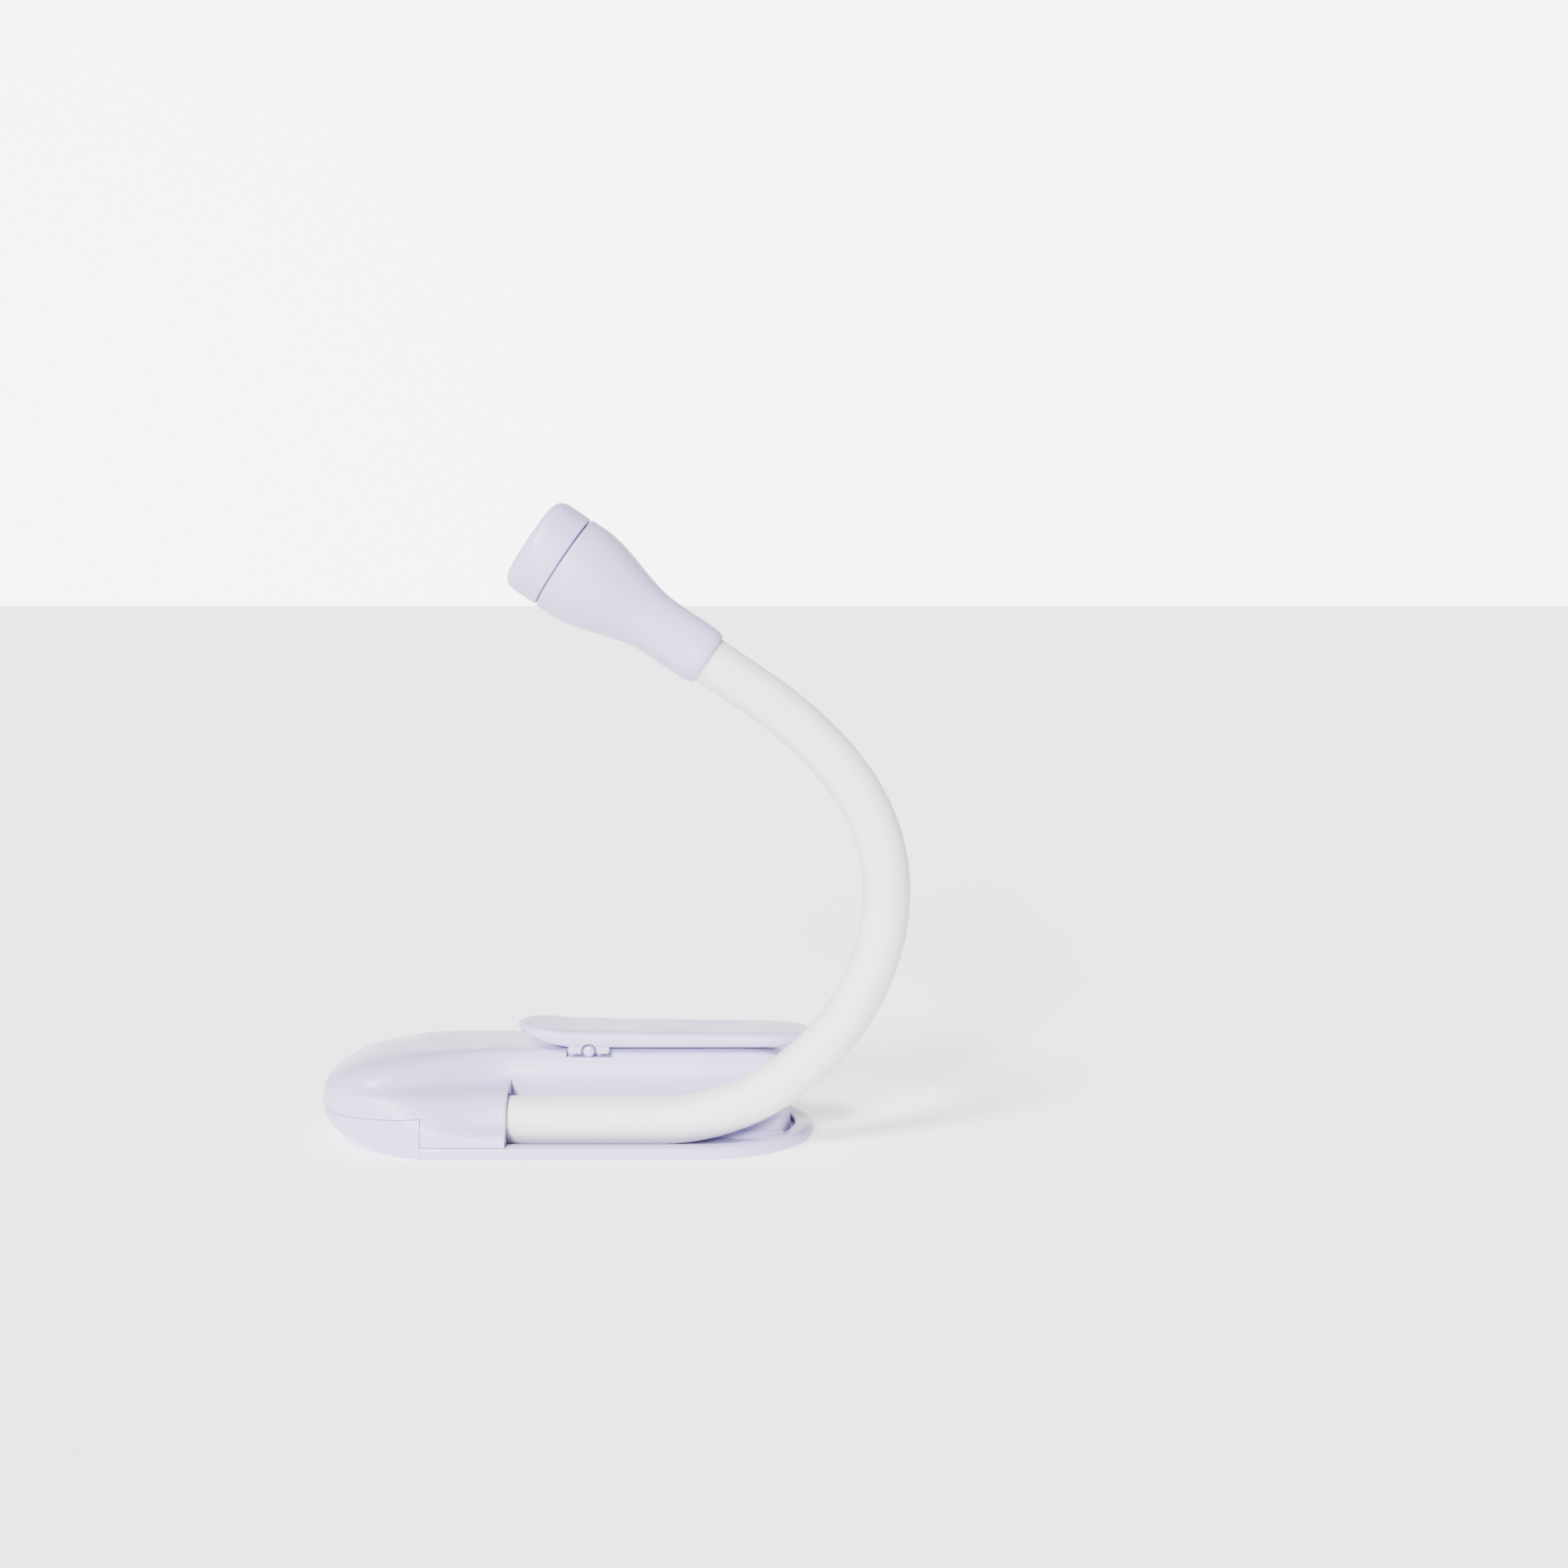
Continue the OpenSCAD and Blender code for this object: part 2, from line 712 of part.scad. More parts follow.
base_plate();
pod_shell();
shell_screws();
battery_door();
coin_cell_lower();
coin_cell_upper();
cell_contact_side();
cell_contact_top();
circuit_board();
switch_housing();
driver_chip();
resistor();
power_leads();
switch_knob();
neck_clamp();
hinge_pin();
torsion_spring();
clip_lever();
jaw_pad();
neck_sleeve_0();
neck_core_0();
neck_sleeve(1);  // neck_sleeve_1
neck_sleeve(2);  // neck_sleeve_2
neck_sleeve(3);  // neck_sleeve_3
neck_sleeve(4);  // neck_sleeve_4
neck_sleeve(5);  // neck_sleeve_5
neck_sleeve(6);  // neck_sleeve_6
neck_sleeve(7);  // neck_sleeve_7
neck_sleeve(8);  // neck_sleeve_8
neck_sleeve(9);  // neck_sleeve_9
neck_sleeve(10);  // neck_sleeve_10
neck_sleeve(11);  // neck_sleeve_11
neck_core(1);  // neck_core_1
neck_core(2);  // neck_core_2
neck_core(3);  // neck_core_3
neck_core(4);  // neck_core_4
neck_core(5);  // neck_core_5
neck_core(6);  // neck_core_6
neck_core(7);  // neck_core_7
neck_core(8);  // neck_core_8
neck_core(9);  // neck_core_9
neck_core(10);  // neck_core_10
neck_core(11);  // neck_core_11
neck_sleeve_12();
neck_core_12();
head_ferrule();
head_shell();
head_board();
head_led();
head_reflector();
head_lens();
head_bezel();
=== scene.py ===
"""Looks of a clip-on reading lamp: a pebble-shaped clip base, a bendable sleeved neck and a lamp head.

Lengths in this script are millimetres in the part's own frame; mesh() turns them into Blender's metres.
+X runs along the base from the battery end to the jaw end, -Y is the side that the neck leaves by, +Z is up.
"""
import json
import math

import bmesh
import bpy
import numpy as np
from mathutils import Matrix, Vector

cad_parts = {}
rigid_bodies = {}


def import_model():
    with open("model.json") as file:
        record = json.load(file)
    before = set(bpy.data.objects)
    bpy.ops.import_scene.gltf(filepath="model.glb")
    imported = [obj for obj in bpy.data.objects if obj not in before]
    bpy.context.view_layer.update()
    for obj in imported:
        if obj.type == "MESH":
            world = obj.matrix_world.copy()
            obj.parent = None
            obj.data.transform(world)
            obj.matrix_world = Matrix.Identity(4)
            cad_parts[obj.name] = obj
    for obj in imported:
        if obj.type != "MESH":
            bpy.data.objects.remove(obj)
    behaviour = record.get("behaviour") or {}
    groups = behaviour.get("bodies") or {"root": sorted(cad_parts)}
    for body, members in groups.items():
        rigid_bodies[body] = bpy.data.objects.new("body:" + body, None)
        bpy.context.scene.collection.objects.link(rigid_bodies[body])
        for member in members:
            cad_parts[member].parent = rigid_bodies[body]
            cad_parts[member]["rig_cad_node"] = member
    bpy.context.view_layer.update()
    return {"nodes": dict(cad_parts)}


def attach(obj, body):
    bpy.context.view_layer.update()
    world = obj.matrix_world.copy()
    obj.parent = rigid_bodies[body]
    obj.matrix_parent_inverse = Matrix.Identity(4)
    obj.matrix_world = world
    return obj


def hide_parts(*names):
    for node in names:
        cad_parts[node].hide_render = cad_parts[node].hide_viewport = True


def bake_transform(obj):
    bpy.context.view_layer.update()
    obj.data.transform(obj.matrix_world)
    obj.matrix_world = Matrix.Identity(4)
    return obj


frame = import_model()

MM = 0.001

# Base
HALF_W = 20.0
HALF_LEN = 43.0
WALL = 1.6
PLATE_T = 2.2
EQUATOR_Z = 6.7
CROWN = 9.3
END_X = -19.0
END_REACH = 24.0
END_POWER = 2.3
END_RISE_POWER = 2.8
END_TUCK = 9.8
END_TUCK_Z = 6.7
SIDE_POWER = 4.2
WALL_ROUND = 3.4
NOSE_X = 23.0
NOSE_REACH = 16.0
NECK_Y = -12.0
NECK_Z = 5.2
SOCKET_X = -9.4
SOCKET_R = 5.3
CHANNEL_BACK = -7.6
CHANNEL_FRONT = -16.8
CHANNEL_FLOOR = 0.8
DOOR_X = -23.8
DOOR_TOP = 6.8
DOOR_SLOPE = math.tan(math.radians(2))
DOOR_GAP = 0.13
TONGUE_HALF = 11.7
TONGUE_TIP = -14.3
TONGUE_T = 1.1
SCREW_SPOTS = [(-8.5, 14), (27, 12), (27, -3)]
KNOB_X = 2.8
CELL_X = -26.0
CELL_R = 10.0
CELL_FLOOR = 1.5
CELL_STEP = 3.3

# Clip
HINGE = (4.0, 0.0, 15.9)
LEVER_LEFT = -8.8
LEVER_RIGHT = 43.0
LEVER_R = 6.9
LEVER_BOTTOM = 16.6
LEVER_T = 2.8
TAB_RISE = 2.5
TAB_START = 1.7
EAR_IN = 4.7
EAR_OUT = 6.6
PIN_R = 1.05

# Neck and head
SLEEVE_R = 4.1
SLEEVE_BORE_R = 2.6
NECK_START = 17.0
LINK_LEN = 9.4
BENDS = [16, 15, 12, 13, 13, 14, 16, 17, 14, 9, 7]
HEAD_LEN = 36.0
SHELL_END = 29.1
HEAD_R = 8.5


# ---- geometry helpers ----

def mesh(name, verts, faces, sharp=32, weld=False):
    """A mesh object from millimetre points, smooth except across edges sharper than sharp degrees."""
    data = bpy.data.meshes.new(name)
    data.from_pydata([tuple(MM * float(c) for c in v) for v in verts], [], [tuple(f) for f in faces])
    data.validate()
    shape = bmesh.new()
    shape.from_mesh(data)
    if weld:
        bmesh.ops.remove_doubles(shape, verts=shape.verts, dist=0.000001)
    bmesh.ops.recalc_face_normals(shape, faces=shape.faces)
    shape.to_mesh(data)
    shape.free()
    obj = bpy.data.objects.new(name, data)
    bpy.context.scene.collection.objects.link(obj)
    shade(obj, sharp)
    return obj


def shade(obj, sharp=32):
    obj.data.shade_smooth()
    obj.data.set_sharp_from_angle(angle=math.radians(sharp))


def loft(name, rings, sharp=32, closed=False, folded=False):
    """Skins closed rings of equal length; the ends are capped, or joined (closed), or folded shut."""
    rings = [np.asarray(r, float) for r in rings]
    n = len(rings[0])
    verts = np.concatenate(rings)
    faces = []
    spans = len(rings) if closed else len(rings) - 1
    for i in range(spans):
        a = i * n
        b = ((i + 1) % len(rings)) * n
        faces += [(a + k, a + (k + 1) % n, b + (k + 1) % n, b + k) for k in range(n)]
    if not closed and not folded:
        faces.append(tuple(range(n - 1, -1, -1)))
        last = (len(rings) - 1) * n
        faces.append(tuple(range(last, last + n)))
    return mesh(name, verts, faces, sharp, weld=folded)


def lathe(name, profile, place, segments=96, sharp=32):
    """Turns a closed profile of (radius, height) round the Z axis of place."""
    rings = []
    for k in range(segments):
        a = 2 * math.pi * k / segments
        points = [Vector((r * math.cos(a), r * math.sin(a), h)) for r, h in profile]
        rings.append([place @ p for p in points])
    return loft(name, rings, sharp, closed=True)


def apply(obj):
    """Turns the object's modifiers into its mesh."""
    graph = bpy.context.evaluated_depsgraph_get()
    done = bpy.data.meshes.new_from_object(obj.evaluated_get(graph))
    obj.modifiers.clear()
    old = obj.data
    obj.data = done
    bpy.data.meshes.remove(old)
    return obj


def carve(obj, operation, *tools):
    """Booleans obj with each tool in turn, and removes the tools."""
    for tool in tools:
        step = obj.modifiers.new("carve", "BOOLEAN")
        step.operation = operation
        step.object = tool
        step.solver = "EXACT"
        apply(obj)
        bpy.data.objects.remove(tool)
    return obj


def copy_of(obj, name):
    twin = obj.copy()
    twin.data = obj.data.copy()
    twin.name = name
    bpy.context.scene.collection.objects.link(twin)
    return twin


def prism(points, low, high, plane="xy"):
    """A plain cutting tool: a polygon drawn out from low to high across its plane."""
    def lift(p, h):
        return {"xy": (p[0], p[1], h), "xz": (p[0], h, p[1]), "yz": (h, p[0], p[1])}[plane]
    return loft("tool", [[lift(p, low) for p in points], [lift(p, high) for p in points]], 20)


def block(low, high):
    x0, y0, z0 = low
    x1, y1, z1 = high
    return prism([(x0, y0), (x1, y0), (x1, y1), (x0, y1)], z0, z1)


def rod(centre, axis, stations, sides=48):
    """A round cutting tool or pin: (distance along axis, radius) stations from centre."""
    turn = Vector(axis).to_track_quat("Z", "Y").to_matrix().to_4x4()
    place = Matrix.Translation(centre) @ turn
    turns = [2 * math.pi * k / sides for k in range(sides)]
    rings = []
    for distance, r in stations:
        rings.append([place @ Vector((r * math.cos(a), r * math.sin(a), distance)) for a in turns])
    return loft("tool", rings, 25)


def smoothstep(x, low, high):
    t = np.clip((np.asarray(x, float) - low) / (high - low), 0, 1)
    return t * t * (3 - 2 * t)


def stadium_ring(x0, x1, r, height, segments=24):
    """Points round a shape with straight sides and round ends, at the height that height(x, y) gives."""
    points = []
    for k in range(segments + 1):
        a = -math.pi / 2 + math.pi * k / segments
        points.append((x1 - LEVER_R + r * math.cos(a), r * math.sin(a)))
    for k in range(1, 30):
        points.append((x1 - LEVER_R + (x0 - x1 + 2 * LEVER_R) * k / 30, r))
    for k in range(segments + 1):
        a = math.pi / 2 + math.pi * k / segments
        points.append((x0 + LEVER_R + r * math.cos(a), r * math.sin(a)))
    for k in range(1, 30):
        points.append((x0 + LEVER_R + (x1 - x0 - 2 * LEVER_R) * k / 30, -r))
    return [(x, y, height(x, y)) for x, y in points]


# ---- the pebble-shaped base ----

def fullness(z, inset, power):
    rise = np.clip((z - EQUATOR_Z) / (CROWN - inset), 0, 1)
    return np.where(z <= EQUATOR_Z, 1.0, (1 - rise ** power) ** (1 / power))


def socket_side(x, z, inset, wall):
    """Front of the base at the neck socket: a skirt up from the plate, a half round, then the wall."""
    edge = np.clip((x - (SOCKET_X - 0.5)) / 0.5, 0, 1)
    r = SOCKET_R - inset - 0.3 * (1 - np.sqrt(1 - edge ** 2))
    front = HALF_W - inset
    rise = np.clip((z - PLATE_T) / (NECK_Z - PLATE_T), 0, 1)
    skirt = -front + (front + NECK_Y - r) * (1 - np.sqrt(1 - rise ** 2))
    over = NECK_Y - np.sqrt(np.maximum(r ** 2 - (z - NECK_Z) ** 2, 0)) + 6 * np.maximum(z - NECK_Z - r, 0)
    side = np.where(z < NECK_Z, skirt, over)
    soft = 1.8
    mix = np.maximum(soft - np.abs(side - wall), 0) / soft
    return np.minimum(side, wall) - mix * mix * soft / 4


def side_limits(x, z, inset, socket):
    """How far the raised body reaches in -Y and +Y at (x, z), with or without the neck socket in front."""
    tuck = END_TUCK * (1 - np.sqrt(1 - np.clip(1 - z / END_TUCK_Z, 0, 1) ** 2))
    end_reach = (END_REACH - inset - tuck) * fullness(z, inset, END_RISE_POWER)
    end_part = np.clip((END_X - x) / np.maximum(end_reach, 1e-6), 0, 1)
    nose_reach = (NOSE_REACH - inset) * fullness(z, inset, 7)
    nose_part = np.clip((x - NOSE_X) / np.maximum(nose_reach, 1e-6), 0, 1)
    full = (HALF_W - inset) * fullness(z, inset, SIDE_POWER)
    full = full * (1 - end_part ** END_POWER) ** (1 / END_POWER) * np.sqrt(1 - nose_part ** 2)
    bulge = np.clip((z - 10) / (CROWN + EQUATOR_Z - inset - 10), 0, 1)
    wall = CHANNEL_BACK + inset + WALL_ROUND * (1 - np.sqrt(1 - bulge ** 2))
    if socket:
        wall = socket_side(x, z, inset, wall)
    starts = -21 - 21 * smoothstep(z, 2, 12)
    inwards = np.where(x < SOCKET_X, smoothstep(x, starts, SOCKET_X), 1.0)
    side = -full + inwards * (wall + full)
    # the wall meets the nose in a rounded corner
    corner = np.maximum(3.0 - np.abs(side + full), 0) ** 2 / 12
    side = np.where(x > NOSE_X, np.maximum(side, -full) + corner, side)
    return side, full


def inside(x, y, z, inset, socket):
    """Negative inside the base, positive outside, in roughly millimetres."""
    side, full = side_limits(x, z, inset, socket)
    body = np.maximum(side - y, y - full)
    return np.where((z >= EQUATOR_Z + CROWN - inset) | (full < 0.02), 5.0, body)


def base_ring(x, inset, rays, socket):
    """One closed section of the base at x, found along rays from a point inside it."""
    mid = float(0.5 * CHANNEL_BACK + 10) * float(smoothstep(x, -24, 4))
    angle = np.linspace(0, 2 * np.pi, rays, endpoint=False) - math.pi / 2
    dy, dz = np.cos(angle), np.sin(angle)
    low = np.zeros(rays)
    high = np.full(rays, 60.0)
    for _ in range(36):
        r = (low + high) / 2
        out = inside(x, mid + r * dy, EQUATOR_Z + r * dz, inset, socket) > 0
        out = out | (EQUATOR_Z + r * dz < -1)
        high = np.where(out, r, high)
        low = np.where(out, low, r)
    r = (low + high) / 2
    return np.stack([np.full(rays, x), mid + r * dy, EQUATOR_Z + r * dz], axis=1)


def base_form(inset, rays, along):
    """The closed outer or inner form of the raised body, with the flat face of the neck socket."""
    left = END_X - (END_REACH - inset) * np.cos(np.linspace(0.02, math.pi / 2, along))
    middle = np.linspace(END_X, SOCKET_X - 0.5, along // 2)[1:]
    lip = SOCKET_X - 0.5 * (1 - np.sin(np.linspace(0, math.pi / 2, 7)[1:]))
    right = np.linspace(SOCKET_X + 0.02, NOSE_X, along)
    nose = NOSE_X + (NOSE_REACH - inset) * np.sin(np.linspace(0, math.pi / 2 - 0.02, along)[1:])
    rings = [base_ring(x, inset, rays, True) for x in np.concatenate([left, middle, lip])]
    rings += [base_ring(x, inset, rays, False) for x in np.concatenate([right, nose])]
    return loft("base_form", rings, 40)


def door_space(gap, drop=-3.0):
    """Tool for everything below and left of the battery door's seams, grown by gap."""
    reach = -HALF_LEN - 4
    top = DOOR_TOP + gap
    return prism([
        (DOOR_X + gap, drop), (DOOR_X + gap, top),
        (reach, top - (DOOR_X + gap - reach) * DOOR_SLOPE), (reach, drop),
    ], -HALF_W - 4, HALF_W + 4, "xz")


outer = base_form(0, 176, 40)
inner = base_form(WALL, 88, 20)
door = copy_of(outer, "door_shell")
pod = outer
pod.name = "pod_body"


def hinge_lugs():
    """The two upright ears in the crown that carry the hinge pin."""
    lugs = []
    for side in (-1, 1):
        outline = [(HINGE[0] - 1.65, 13.0), (HINGE[0] + 1.65, 13.0)]
        outline += [
            (HINGE[0] + 1.65 * math.cos(math.pi * k / 16), HINGE[2] + 1.65 * math.sin(math.pi * k / 16))
            for k in range(17)
        ]
        lugs.append(prism(outline, side * 3.45 - 0.95, side * 3.45 + 0.95, "xz"))
    return lugs


# bore of the neck socket with its flared mouth, as (distance past the socket's face, radius)
SOCKET_BORE = [(-6.3, 4.15), (-1.1, 4.15), (-0.7, 4.25), (-0.3, 4.5), (0.05, 4.8), (1, 4.8)]

carve(pod, "DIFFERENCE", inner)
carve(pod, "UNION", block((-2.5, -4.2, 12.8), (8.7, 8.0, 15.2)), *hinge_lugs())
carve(
    pod, "DIFFERENCE",
    block((-60, -30, -5), (60, 30, PLATE_T + 0.04)),
    door_space(DOOR_GAP, -6),
    rod((0, NECK_Y, NECK_Z), (1, 0, 0), [(SOCKET_X + d, r) for d, r in SOCKET_BORE], 96),
    rod((HINGE[0], 0, HINGE[2]), (0, 1, 0), [(-6.9, 1.07), (6.9, 1.07)]),
    rod((HINGE[0], 0, HINGE[2]), (0, 1, 0), [(-2.35, 2.15), (2.35, 2.15)]),
    block((HINGE[0] - 6.1, -2.35, HINGE[2] - 0.95), (HINGE[0], 2.35, HINGE[2] + 2)),
    block((HINGE[0] - 4, -6.85, 14.8), (HINGE[0] + 4, -4.45, 19)),
    block((HINGE[0] - 4, 4.45, 14.8), (HINGE[0] + 4, 6.85, 19)),
    block((1.1, 16.5, 5.7), (7.5, 22, 8.3)),
)
shade(pod, 40)

door_inner = base_form(WALL, 88, 20)
carve(door_inner, "DIFFERENCE", block((-60, -30, -5), (60, 30, TONGUE_T)))
carve(door, "INTERSECT", door_space(0))
carve(door, "DIFFERENCE", block((-60, -30, -5), (0, 30, 0)), door_inner)


def door_tongue():
    """Flat tongue that slides in the plate, with two round corners that lead it in."""
    corner = 1.5
    straight = TONGUE_TIP - corner
    outline = [(DOOR_X - 2, -TONGUE_HALF), (straight, -TONGUE_HALF)]
    outline += [
        (straight + corner * math.sin(a), -TONGUE_HALF + corner - corner * math.cos(a))
        for a in np.linspace(0, math.pi / 2, 7)[1:]
    ]
    outline += [(x, -y) for x, y in reversed(outline)]
    return prism(outline, 0, TONGUE_T)


carve(door, "UNION", door_tongue())
carve(door, "DIFFERENCE", *[
    rod((x, 0, -0.35), (0, 1, 0), [(-5.5, 0.2), (-5.1, 0.6), (5.1, 0.6), (5.5, 0.2)], 24)
    for x in (-31.8, -30.4, -29.0, -27.6, -26.2)
])
shade(door, 32)


# ---- base plate with its rim and channel ----

def plate_outline(inset):
    """Outline of the plate: superellipse at the battery end, cut at the door; half circle at the jaw."""
    points = []
    cut = DOOR_X + 0.07
    angle_cut = math.acos(((END_X - cut) / END_REACH) ** (END_POWER / 2))
    for a in np.linspace(angle_cut, math.pi / 2, 14):
        c, s = math.cos(a) ** (2 / END_POWER), math.sin(a) ** (2 / END_POWER)
        points.append((END_X - END_REACH * c, -(HALF_W - inset) * s))
    for a in np.linspace(-math.pi / 2, math.pi / 2, 90):
        points.append((NOSE_X + (HALF_W - inset) * math.cos(a), (HALF_W - inset) * math.sin(a)))
    points += [(x, -y) for x, y in reversed(points[:14])]
    return points


def plate_rings():
    """Rings up the plate's side. The edge is round along the rim and close to square under the shell."""
    def ring(inset, z):
        points = plate_outline(0)
        slim = plate_outline(1)
        out = []
        for (x, y), (sx, sy) in zip(points, slim):
            soft = max(float(smoothstep(-y, -10, 12)), float(smoothstep(x, 24, 36)))
            r = 0.15 + 0.65 * soft
            pull = inset * r
            lift = PLATE_T - (PLATE_T - z) * r if z > 1 else z * 0.8
            out.append((x + (sx - x) * pull, y + (sy - y) * pull, lift))
        return out

    rings = [ring(1.3, 0)]
    for a in np.linspace(0, math.pi / 2, 8):
        rings.append(ring(0.8 * (1 - math.sin(a)), 0.9 * (1 - math.cos(a))))
    for a in np.linspace(0, math.pi / 2, 9):
        rings.append(ring(1 - math.cos(a), PLATE_T - 1 + math.sin(a)))
    rings.append(ring(1.4, PLATE_T))
    return rings


def channel_tool():
    """Tool for the channel round the front and the jaw end, with a rounded floor and mouth."""
    start = SOCKET_X - 6.3

    def outline(grow):
        rim, nose = HALF_W - 3.2 + grow, NOSE_REACH - 0.3 * max(grow, 0)
        rise = math.asin(math.sqrt((rim ** 2 - nose ** 2) / (HALF_W ** 2 - nose ** 2)))
        meeting = math.atan2(HALF_W * math.sin(rise), nose * math.cos(rise))
        points = [(start, CHANNEL_FRONT - grow)]
        points += [
            (NOSE_X + rim * math.cos(a), rim * math.sin(a))
            for a in np.linspace(-math.pi / 2, meeting, 80)
        ]
        points += [
            (NOSE_X + nose * math.cos(a), HALF_W * math.sin(a))
            for a in np.linspace(rise, math.asin(CHANNEL_BACK / HALF_W), 24)[1:]
        ]
        return points + [(start, CHANNEL_BACK)]

    corner = ((-0.5, 0), (-0.35, 0.04), (-0.12, 0.2), (0, 0.5))
    levels = [(grow, CHANNEL_FLOOR + rise) for grow, rise in corner]
    mouth = 0.55
    levels += [
        (mouth * (1 - math.cos(a)), PLATE_T - mouth + mouth * math.sin(a))
        for a in np.linspace(0, math.pi / 2, 6)
    ]
    levels.append((mouth, PLATE_T + 2))
    return loft("tool", [[(x, y, z) for x, y in outline(g)] for g, z in levels], 30)


plate = loft("base_plate_body", plate_rings(), 32)
carve(
    plate, "DIFFERENCE",
    channel_tool(),
    block((-50, -10.6, -1), (-15.4, 10.6, 9)),
    block((-50, -11.85, -1), (-14.15, 11.85, 1.25)),
)
# each screw hole has a wide recess for the head, and a narrow bore above it
for x, y in SCREW_SPOTS:
    hole = [(-1, 1.95), (0, 1.95), (1.1, 1.95), (1.12, 0.95), (4, 0.95)]
    carve(plate, "DIFFERENCE", rod((x, y, 0), (0, 0, 1), hole, 40))
shade(plate, 32)


# ---- clip lever, its pin, spring and pad ----

def lever_top(x):
    """Height of the lever's top face, which falls towards the jaw and curls up at the thumb end."""
    base = LEVER_BOTTOM + LEVER_T - 0.6 * np.clip((x - TAB_START) / (LEVER_RIGHT - TAB_START), 0, 1)
    u = np.clip((TAB_START - x) / (TAB_START - LEVER_LEFT), 0, 1)
    return base + TAB_RISE * u ** 1.6 - 1.3 * u ** 2


def lever_underside(x):
    u = np.clip((TAB_START - x) / (TAB_START - LEVER_LEFT), 0, 1)
    return LEVER_BOTTOM + TAB_RISE * u ** 1.6


def lever_form():
    """Rings from the middle of the underside, round the soft edge, to the middle of the top face."""
    rings = []
    lower, upper = 0.7, 1.15
    steps = [(r, 0.0, 0) for r in (0.0, 2.2, 4.3)]
    steps += [
        (LEVER_R - lower * (1 - math.sin(a)), lower * (1 - math.cos(a)), 0)
        for a in np.linspace(0, math.pi / 2, 6)
    ]
    steps += [
        (LEVER_R - upper * (1 - math.cos(a)), -upper * (1 - math.sin(a)), 1)
        for a in np.linspace(0, math.pi / 2, 9)
    ]
    steps += [(r, 0.0, 1) for r in (4.3, 2.2, 0.0)]
    for r, lift, on_top in steps:
        def height(x, y):
            low, high = float(lever_underside(x)), float(lever_top(x))
            thin = min(1.0, (high - low) / 2.2)
            dish = 0.12 * (1 - min(1, abs(y) / 5.5) ** 2) * float(smoothstep(-x, -1, 6))
            return high + lift * thin - dish if on_top else low + lift * thin
        rings.append(stadium_ring(LEVER_LEFT, LEVER_RIGHT, r, height))
    return loft("lever_body", rings, 50, folded=True)


def lever_ear(side):
    """Bracket with rounded lower corners under the lever, seen from the side."""
    half, bottom, r = 3.5, HINGE[2] - 0.35, 0.5
    outline = [(HINGE[0] + half, LEVER_BOTTOM + 0.6), (HINGE[0] - half, LEVER_BOTTOM + 0.6)]
    outline += [
        (HINGE[0] - half + r - r * math.cos(a), bottom + r - r * math.sin(a))
        for a in np.linspace(0, math.pi / 2, 5)
    ]
    outline += [
        (HINGE[0] + half - r + r * math.sin(a), bottom + r - r * math.cos(a))
        for a in np.linspace(0, math.pi / 2, 5)
    ]
    return prism(outline, min(side * EAR_IN, side * EAR_OUT), max(side * EAR_IN, side * EAR_OUT), "xz")


def pin_arch(side):
    """Tool for the open arch round the end of the pin, in the outer half of an ear."""
    r = 1.4
    outline = [(HINGE[0] - r, 14.0), (HINGE[0] + r, 14.0)]
    outline += [
        (HINGE[0] + r * math.cos(a), HINGE[2] + r * math.sin(a))
        for a in np.linspace(0, math.pi, 17)
    ]
    return prism(outline, min(side * 5.5, side * 8), max(side * 5.5, side * 8), "xz")


lever = lever_form()
carve(lever, "UNION", lever_ear(-1), lever_ear(1))
carve(
    lever, "DIFFERENCE",
    pin_arch(-1), pin_arch(1),
    rod((HINGE[0], 0, HINGE[2]), (0, 1, 0), [(-8, 1.12), (8, 1.12)]),
    block((HINGE[0] - 3.2, -4.6, LEVER_BOTTOM - 1), (HINGE[0] + 3.2, 4.6, LEVER_BOTTOM + 1.2)),
)
shade(lever, 40)

pin = rod(
    (HINGE[0], 0, HINGE[2]), (0, 1, 0),
    [(-6.75, 0.1), (-6.7, 0.45), (-6.5, 0.8), (-6.25, 1.0), (-5.9, PIN_R), (0, PIN_R), (5.9, PIN_R),
     (6.25, 1.0), (6.5, 0.8), (6.7, 0.45), (6.75, 0.1)],
    40,
)
pin.name = "pin_body"
shade(pin, 40)


def sweep(name, points, r, sides=12, sharp=40):
    """Round wire along a list of points, with slightly rounded ends."""
    points = [Vector(p) for p in points]
    rings = []
    count = len(points)
    up = Vector((0, 1, 0))
    for k, p in enumerate(points):
        t = (points[min(k + 1, count - 1)] - points[max(k - 1, 0)]).normalized()
        u = t.cross(up if abs(t.dot(up)) < 0.95 else Vector((1, 0, 0))).normalized()
        v = t.cross(u)
        scales = [(-r * 0.4, 0.55), (-r * 0.1, 0.85), (0, 1.0)] if k == 0 else [(0, 1.0)]
        if k == count - 1:
            scales = [(0, 1.0), (r * 0.1, 0.85), (r * 0.4, 0.55)]
        turns = [2 * math.pi * s / sides for s in range(sides)]
        for shift, scale in scales:
            rings.append([p + t * shift + r * scale * (math.cos(a) * u + math.sin(a) * v) for a in turns])
    return loft(name, rings, sharp)


def spring_points():
    """Coil round the pin, with a leg under the lever at one end and a leg on the base at the other."""
    turns, steps, coil_r, half = 3.5, 112, 1.45, 1.65
    x, _, z = HINGE
    points = [(x - 5.4, -half, z + 0.3), (x - 3.4, -half, z + 0.4)]
    for k in range(steps + 1):
        a = math.radians(90 + 360 * turns * k / steps)
        points.append((x + coil_r * math.cos(a), -half + 2 * half * k / steps, z + coil_r * math.sin(a)))
    points += [(x - 2, half, z - 0.75), (x - 5.2, half, z - 0.6)]
    return points


spring = sweep("clip_spring", spring_points(), 0.24, 10)


